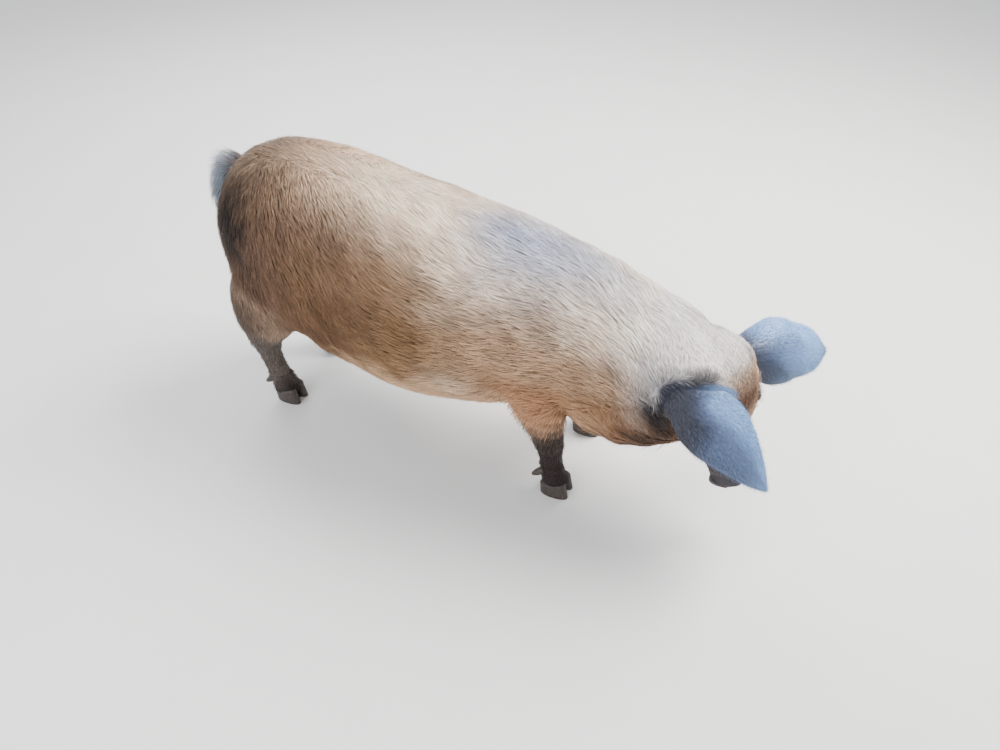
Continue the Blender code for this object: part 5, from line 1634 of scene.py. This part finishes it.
def unwrap(place, region):
    """Two shares that lay a region's skin flat: along it and round it, each leg or ear beside the last."""
    x, y, z = place.T
    if region == "ears":
        (t, s, off), (other_t, other_s, other_off) = (in_ear(name, place) for name in EARS)
        left = other_off < off
        return np.where(left, other_t, t), np.where(left, other_s + OTHER_EAR, s)
    if region.startswith("legs"):
        table = np.array(HIND_LEG if "hind" in region else FORE_LEG)[::-1]
        middle = np.interp(z, table[:, 2], table[:, 0])
        beside = np.abs(y) + np.interp(z, table[:, 2], table[:, 1])
        return z, np.arctan2(beside, x - middle) + np.where(y > 0, OTHER_LEG, 0.0)
    if region.startswith("head"):
        a, b, c = in_head(place)
        return a, np.arctan2(b, c + 0.02)
    if region == "tail":
        table = np.array(TAIL)[2:]
        middle_x, middle_y = (np.interp(-z, -table[:, 2], table[:, k]) for k in (0, 1))
        return z, np.arctan2(y - middle_y, x - middle_x)
    centre, _, side, up = trunk_frame(x)
    apart = place - centre
    return x, np.arctan2(dot(apart, side)[:, 0], dot(apart, up)[:, 0])


def spots(place, region):
    """The place of each root on the unwrap, from 0.02 to 0.98 both ways."""
    laid = np.stack(unwrap(place, region), axis=-1)
    low, high = laid.min(axis=0), laid.max(axis=0)
    return 0.02 + 0.96 * (laid - low) / np.maximum(high - low, 1e-9)


def blade_faces(rings, count):
    """The faces of tufts: quads between three-sided rings, and for each a tip and a closed root."""
    k, r = np.meshgrid(range(3), range(rings - 1))
    first, after = 3 * r + k, 3 * r + (k + 1) % 3
    quads = np.stack([first, after, after + 3, first + 3], axis=-1).reshape(-1, 4)
    k = np.arange(3)
    tips = np.stack([3 * rings - 3 + k, 3 * rings - 3 + (k + 1) % 3, np.full(3, 3 * rings)], axis=-1)
    caps = np.vstack([tips, [[2, 1, 0]]])
    starts = (np.arange(count) * (3 * rings + 1))[:, None, None]
    return [(group[None] + starts).reshape(-1, group.shape[1]) for group in (quads, caps)]


def blades(name, paths, out, width, roll, colours, laid):
    """Thin closed tufts along paths: three-sided rings that narrow to a point.

    A ring's corners are path -+ half width side, and path + depth out; side and out turn by roll.
    """
    count, rows, _ = paths.shape
    rings = rows - 1
    ahead = unit(np.gradient(paths, axis=1))
    side = unit(np.cross(ahead, out))
    out = np.cross(side, ahead)
    turn = roll[:, None, None]
    side, out = np.cos(turn) * side + np.sin(turn) * out, np.cos(turn) * out - np.sin(turn) * side
    half = width[:, None, None] * np.array(BLADE_TAPER)[None, :, None] / 2
    centre, side, out = paths[:, :rings], side[:, :rings], out[:, :rings]
    ring = np.stack([centre - half * side, centre + half * side, centre + BLADE_DEPTH * half * out], axis=2)
    points = np.concatenate([ring.reshape(count, rings * 3, 3), paths[:, rings:]], axis=1)
    faces = blade_faces(rings, count)
    if sum(len(group) * (group.shape[1] - 2) for group in faces) > MOST_TRIANGLES:
        raise RuntimeError(f"{name} has too many triangles")
    made = mesh_object(name, *outwards(points.reshape(-1, 3), faces))
    tone = np.array(BLADE_TONES)[None, :, None]
    shaded = np.repeat(colours[:, None] * tone[:, :rings], 3, axis=1)
    shaded = np.concatenate([shaded, colours[:, None] * tone[:, rings:]], axis=1)
    keep_colour(made, shaded.reshape(-1, 3))
    across = np.append(np.tile([-0.5, 0.5, 0.0], rings), 0.0)
    along = np.append(np.repeat(np.arange(rings) / rings, 3), 1.0) - 0.5
    patch = PATCH * np.stack([across, along], axis=-1)
    add_uv(made, "OFBake", (laid[:, None] + patch[None]).reshape(-1, 2))
    strand = np.stack([across + 0.5, along + 0.5], axis=-1)
    own = np.stack([np.arange(count) * share % STRAND_SPAN for share in STRAND_STEPS], axis=-1)
    add_uv(made, "Strand", (own[:, None] + strand[None]).reshape(-1, 2))
    return made


def add_uv(made, name, at_points):
    """Keeps a UV map whose value at each corner is that of the corner's point."""
    layer = made.data.uv_layers.new(name=name)
    layer.uv.foreach_set("vector", at_points[corner_points(made.data)].astype(np.float32).ravel())


def region_of(place):
    """The name of the coat piece that holds each place."""
    x, y, z = place.T
    names = np.full(len(place), "rump_left", dtype="U20")
    side = np.where(y > np.interp(x, [0.1, 0.4, 0.6], [0, -0.02, -0.036]), "left", "right")
    for start, kind in zip(TRUNK_SPLITS, ("rump", "loin", "flank", "ribs", "shoulder")):
        here = x > start
        names[here] = np.char.add(f"{kind}_", side[here])
    names[(place - NECK_CUT[0]) @ unit(NECK_CUT[1]) > 0] = "neck"
    head = on_face(place) > 0.5
    names[head] = np.where(in_head(place)[1] > 0, "head_left", "head_right")[head]
    leg = (on_leg(place) > 0.5) & (z < 0.33)
    names[leg & (x < 0)] = "legs_hind"
    names[leg & (x > 0)] = "legs_fore"
    names[on_tail(place) > 0.5] = "tail"
    for name in EARS:
        t, _, off = in_ear(name, place)
        names[(off < ON_EAR) & (t > EAR_HAIR_FROM)] = "ears"
    return names


def wild_hair(place, rank):
    """How many times its neighbours' length, height and width whiskers, strays and the ears' hair reach."""
    a, _, c = in_head(place)
    whisker = (rank < WHISKER_SHARE) & (on_face(place) > 0.5) & (a > 0.11) & (c < 0.0)
    stray = (rank > 1 - STRAY_SHARE) & (on_face(place) < 0.5)
    kind = np.where(whisker, 1, np.where(stray, 2, 0))
    long, tall, wide = np.array([(1.0, 1.0, 1.0), WHISKER, STRAY])[kind].T
    for name in EARS:
        t, s, off = in_ear(name, place)
        root = fade(from_ear_root(name, place), 0.040, 0.012) * fade(off, 0.006, 0.012)
        edge = (off < ON_EAR) & (t > EAR_HAIR_FROM) & (np.abs(s) > 0.88)
        long = long * (1 + EAR_ROOT_EXTRA[0] * root) * np.where(edge, EAR_EDGE_HAIR[0], 1.0)
        tall = tall * (1 + EAR_ROOT_EXTRA[1] * root)
        wide = np.where(edge, EAR_EDGE_HAIR[1], wide)
    return long, tall, wide


def follows_skin(place, region):
    """Where tufts are laid along the skin: trunk and neck, and the head away from ears, eyes and mouth."""
    a, _, c = in_head(place)
    clear = np.char.startswith(region, "head") & (np.abs(mouth_line(a)[1] - c) > CLEAR_OF_MOUTH)
    for name in EARS:
        clear &= (in_ear(name, place)[2] > CLEAR_OF_EAR) & (from_eye(name, place) > CLEAR_OF_EAR)
    return clear | ~np.isin(region, SHORT_REGIONS)


def planted(skin_object, chance):
    """Roots of tufts all over the skin, the ways out of it there, and the map of the skin."""
    points, normals = read_points(skin_object)
    triangles = corner_points(skin_object.data).reshape(-1, 3)
    middles = points[triangles].mean(axis=1)
    density = coat_plan(middles)[:, 0] * ~bare(middles)
    root, chosen = scattered(points, triangles, density, chance)
    a, b, c = (points[triangles[chosen, k]] for k in range(3))
    flat = unit(np.cross(b - a, c - a))
    out = unit(normals[triangles[chosen]].mean(axis=1))
    keep = ~bare(root) & (dot(flat, out)[:, 0] > 0.5)
    root, out = root[keep], out[keep]
    return root, out, skin_map(np.vstack([points, root]), np.vstack([normals, out]))


def tuft_paths(root, out, way, reach, height, follow, skin):
    """Centre lines of tufts: each leaves its root along the lie and is set to a height at each step."""
    paths, place = [root - ROOT_SUNK * out], root
    for share in BLADE_RISE:
        place = place + way * (reach / len(BLADE_RISE))[:, None]
        rise = share * height
        laid, up = set_height(place, rise, skin)
        paths.append(np.where(follow, laid, place + rise[:, None] * out))
        up = np.where(follow & (np.abs(up).sum(axis=1, keepdims=True) > 0), up, out)
        place = np.where(follow, laid, place)
        way = unit(way - dot(way, up) * up)
    return np.stack(paths, axis=1)


def grow_coat(skin_object):
    """Plants tufts all over the skin and makes one piece of each region's."""
    chance = np.random.default_rng(bpy.context.scene.pig_sizes.seed)
    root, out, skin = planted(skin_object, chance)
    count = len(root)
    _, reach, width, height = coat_plan(root).T
    region = region_of(root)
    way = lie(root, out, chance.normal(0, 1, count))
    swirl = 0.14 * waves(root, 0.11, 31) + 0.13 * waves(root, 0.03, 32)
    turn = swirl + chance.normal(0, SPREAD["turn"], count)
    way = np.cos(turn)[:, None] * way + np.sin(turn)[:, None] * np.cross(out, way)
    reach = reach * (1 + 0.12 * waves(root, 0.05, 33) + chance.normal(0, SPREAD["length"], count))
    height = height * (1 + 0.14 * waves(root, 0.03, 34) + chance.normal(0, SPREAD["height"], count))
    width = width * chance.uniform(1 - SPREAD["width"], 1 + SPREAD["width"], count)
    roll = chance.normal(0, SPREAD["roll"], count)
    long, tall, wide = wild_hair(root, chance.uniform(0, 1, count))
    reach, height, width = reach * long, height * tall, width * wide
    colours = markings(root)
    tone = 1 + chance.normal(0, SPREAD["tone"], (count, 1))
    tone = tone + np.where(chance.uniform(0, 1, (count, 1)) < PALE_TUFTS, PALE_BY, 0)
    colours = colours * (tone + chance.normal(0, SPREAD["tint"], (count, 3)))
    paths = tuft_paths(root, out, way, reach, height, follows_skin(root, region)[:, None], skin)
    pieces = []
    for name in np.unique(region):
        here = region == name
        laid = spots(root[here], name)
        parts = paths[here], out[here][:, None], width[here], roll[here], colours[here], laid
        pieces.append(blades(f"coat_{name}", *parts))
    return pieces


def lash_shape(name, chance):
    """Lashes in a row along an upper lid: each leaves the rim outwards, fans and curves up to its tip."""
    lash = bpy.context.scene.pig_sizes.lash
    centre, out, along, up = eye_axes(name)
    turn = np.linspace(0.16, 0.84, LASH_COUNT) * np.pi + chance.normal(0, 0.03, LASH_COUNT)
    rim = np.cos(turn)[:, None] * along * LID_HALF_LENGTH + np.sin(turn)[:, None] * up * LID_HALF_HEIGHT
    root = centre + 1.08 * rim + (EYE_SUNK + LID_PROUD + 0.6 * LID_THICKNESS) * out
    reach = (lash * chance.uniform(0.75, 1.1, LASH_COUNT))[:, None]
    fan = unit(rim) * 0.55 + chance.normal(0, 0.08, (LASH_COUNT, 3))
    middle = root + reach * 0.5 * unit(0.75 * out + fan)
    tip = middle + reach * 0.5 * unit(0.35 * out + fan + 0.45 * up)
    return np.stack([root, middle, tip], axis=1)


class PIG_OT_skin(bpy.types.Operator):
    """Makes the one skin of body, head, ears, legs and tail"""

    bl_idname = "pig.skin"
    bl_label = "Skin"

    def execute(self, context):
        made = make_skin()
        places, _ = read_points(made)
        keep_colour(made, markings(places))
        made.data.materials.clear()
        for material in (hide_material(), ear_material(), snout_material()):
            made.data.materials.append(material)
        sides = np.empty(len(made.data.polygons) * 3, np.float32)
        made.data.polygons.foreach_get("center", sides)
        middles = sides.reshape(-1, 3).astype(float) - SHIFT
        index = np.where((in_head(middles)[0] > SNOUT_SKIN_FROM) & (middles[:, 0] > SNOUT_X), 2, 0)
        for name in EARS:
            t, _, off = in_ear(name, middles)
            index[(off < EAR_HIDE) & (t > 0.0)] = 1
        made.data.polygons.foreach_set("material_index", index.astype(np.int32))
        keep_piece(made, flesh_nodes())
        return {"FINISHED"}


class PIG_OT_coat(bpy.types.Operator):
    """Grows the coat of bristly tufts over the skin"""

    bl_idname = "pig.coat"
    bl_label = "Coat"

    def execute(self, context):
        material = bristle_material()
        for made in grow_coat(bpy.data.objects["skin"]):
            made.data.materials.append(material)
            keep_piece(made, [])
        chance = np.random.default_rng(context.scene.pig_sizes.seed + 1)
        dark = np.tile(np.array(context.scene.pig_colours.mud_dark), (LASH_COUNT, 1))
        for name in EARS:
            paths = lash_shape(name, chance)
            outward = np.tile(eye_axes(name)[1], (LASH_COUNT, 1, 1))
            laid = np.stack([np.linspace(0.02, 0.98, LASH_COUNT), np.full(LASH_COUNT, 0.5)], axis=-1)
            width, roll = np.full(LASH_COUNT, LASH_WIDTH), np.zeros(LASH_COUNT)
            made = blades(f"lashes_{name}", paths, outward, width, roll, dark, laid)
            made.data.materials.append(material)
            keep_piece(made, [])
        return {"FINISHED"}


class PIG_OT_eyes(bpy.types.Operator):
    """Makes both wet eyes"""

    bl_idname = "pig.eyes"
    bl_label = "Eyes"

    def execute(self, context):
        material = eye_material()
        radius = context.scene.pig_sizes.eye_radius
        for name in EARS:
            centre, out, along, _ = eye_axes(name)
            points, faces = ball_shape(centre, out, along, radius, 40, 48)
            made = mesh_object(f"eyeball_{name}", points, faces)
            share = np.arccos(np.clip((points - centre) @ out / radius, -1, 1)) / (np.pi / 2)
            add_attribute(made, "from_pupil", "FLOAT", share)
            made.data.materials.append(material)
            keep_piece(made, [f"eye_{name}"])
        return {"FINISHED"}


class PIG_OT_hooves(bpy.types.Operator):
    """Makes the two claws and two dewclaws of each foot"""

    bl_idname = "pig.hooves"
    bl_label = "Hooves"

    def execute(self, context):
        material = horn_material()
        for pair, foot_x in FOOT_X.items():
            for side, sign in (("right", 1), ("left", -1)):
                for toe, toe_sign in (("outer", -sign), ("inner", sign)):
                    y = -STANCE_Y * sign
                    shapes = {
                        "hoof": claw_shape(foot_x, y + toe_sign * CLAW_OFFSET),
                        "dewclaw": dewclaw_shape(foot_x, y, toe_sign),
                    }
                    for kind, shape in shapes.items():
                        node = f"{kind}_{pair}_{side}_{toe}"
                        made = mesh_object(f"{node}_horn", *shape)
                        made.data.materials.append(material)
                        keep_piece(made, [node])
        return {"FINISHED"}


class PIG_OT_stage(bpy.types.Operator):
    """Makes the pale floor, the soft light and the camera"""

    bl_idname = "pig.stage"
    bl_label = "Stage"

    def execute(self, context):
        sizes, paint = context.scene.pig_sizes, context.scene.pig_colours
        size, cells = sizes.floor_width, 29
        across = np.linspace(-size / 2, size / 2, cells)
        x, y = np.meshgrid(across, across, indexing="ij")
        index = np.arange(cells * cells).reshape(cells, cells)
        faces = np.stack([index[:-1, :-1], index[1:, :-1], index[1:, 1:], index[:-1, 1:]], axis=-1)
        points = np.stack([x, y, 0 * x], axis=-1).reshape(-1, 3) - SHIFT
        floor = mesh_object("floor", points, [faces.reshape(-1, 4)])
        floor.data.materials.append(floor_material())
        for name, place, aim, wide, code in LAMPS:
            lamp = bpy.data.lights.new(name, "AREA")
            lamp.energy, lamp.size = getattr(sizes, f"{name}_lamp"), wide
            lamp.color = tuple(linear(code).tolist())
            holder = bpy.data.objects.new(name, lamp)
            holder.location = Vector(place) + Vector(SHIFT.tolist())
            way = Vector(aim) - Vector(place)
            holder.rotation_euler = way.to_track_quat("-Z", "Y").to_euler()
            context.scene.collection.objects.link(holder)
        world = bpy.data.worlds.new("studio air")
        world.use_nodes = True
        sky = world.node_tree.nodes["Background"]
        sky.inputs["Color"].default_value = (*paint.air, 1)
        sky.inputs["Strength"].default_value = sizes.air
        context.scene.world = world
        camera = bpy.data.cameras.new("camera")
        camera.lens, camera.sensor_width = CAMERA_LENS, 36.0
        camera.clip_start, camera.clip_end = 0.05, 60.0
        holder = bpy.data.objects.new("camera", camera)
        ahead = Vector(CAMERA_AHEAD).normalized()
        right = Vector(CAMERA_RIGHT).normalized()
        turned = Matrix((right, right.cross(ahead), -ahead)).transposed().to_4x4()
        turned.translation = Vector(CAMERA_PLACE) + Vector(SHIFT.tolist())
        holder.matrix_world = turned
        context.scene.collection.objects.link(holder)
        context.scene.camera = holder
        return {"FINISHED"}


class PIG_PT_panel(bpy.types.Panel):
    """Lists the pig's pieces"""

    bl_idname = "PIG_PT_panel"
    bl_label = "Mangalica pig"
    bl_space_type = "VIEW_3D"
    bl_region_type = "UI"
    bl_category = "Pig"

    def draw(self, context):
        for operator in OPERATORS:
            self.layout.operator(operator.bl_idname)
        for group in (context.scene.pig_sizes, context.scene.pig_colours):
            column = self.layout.column()
            for name in group.__annotations__:
                column.prop(group, name)


OPERATORS = (PIG_OT_skin, PIG_OT_coat, PIG_OT_eyes, PIG_OT_hooves, PIG_OT_stage)
CLASSES = (PIG_PG_colours, PIG_PG_sizes) + OPERATORS + (PIG_PT_panel,)


def register():
    for kind in CLASSES:
        bpy.utils.register_class(kind)
    bpy.types.Scene.pig_colours = PointerProperty(type=PIG_PG_colours)
    bpy.types.Scene.pig_sizes = PointerProperty(type=PIG_PG_sizes)


def unregister():
    del bpy.types.Scene.pig_sizes
    del bpy.types.Scene.pig_colours
    for kind in reversed(CLASSES):
        bpy.utils.unregister_class(kind)


def main():
    register()
    bpy.ops.pig.skin()
    bpy.ops.pig.coat()
    bpy.ops.pig.eyes()
    bpy.ops.pig.hooves()
    bpy.ops.pig.stage()
    bpy.context.view_layer.update()


if __name__ == "__main__":
    main()
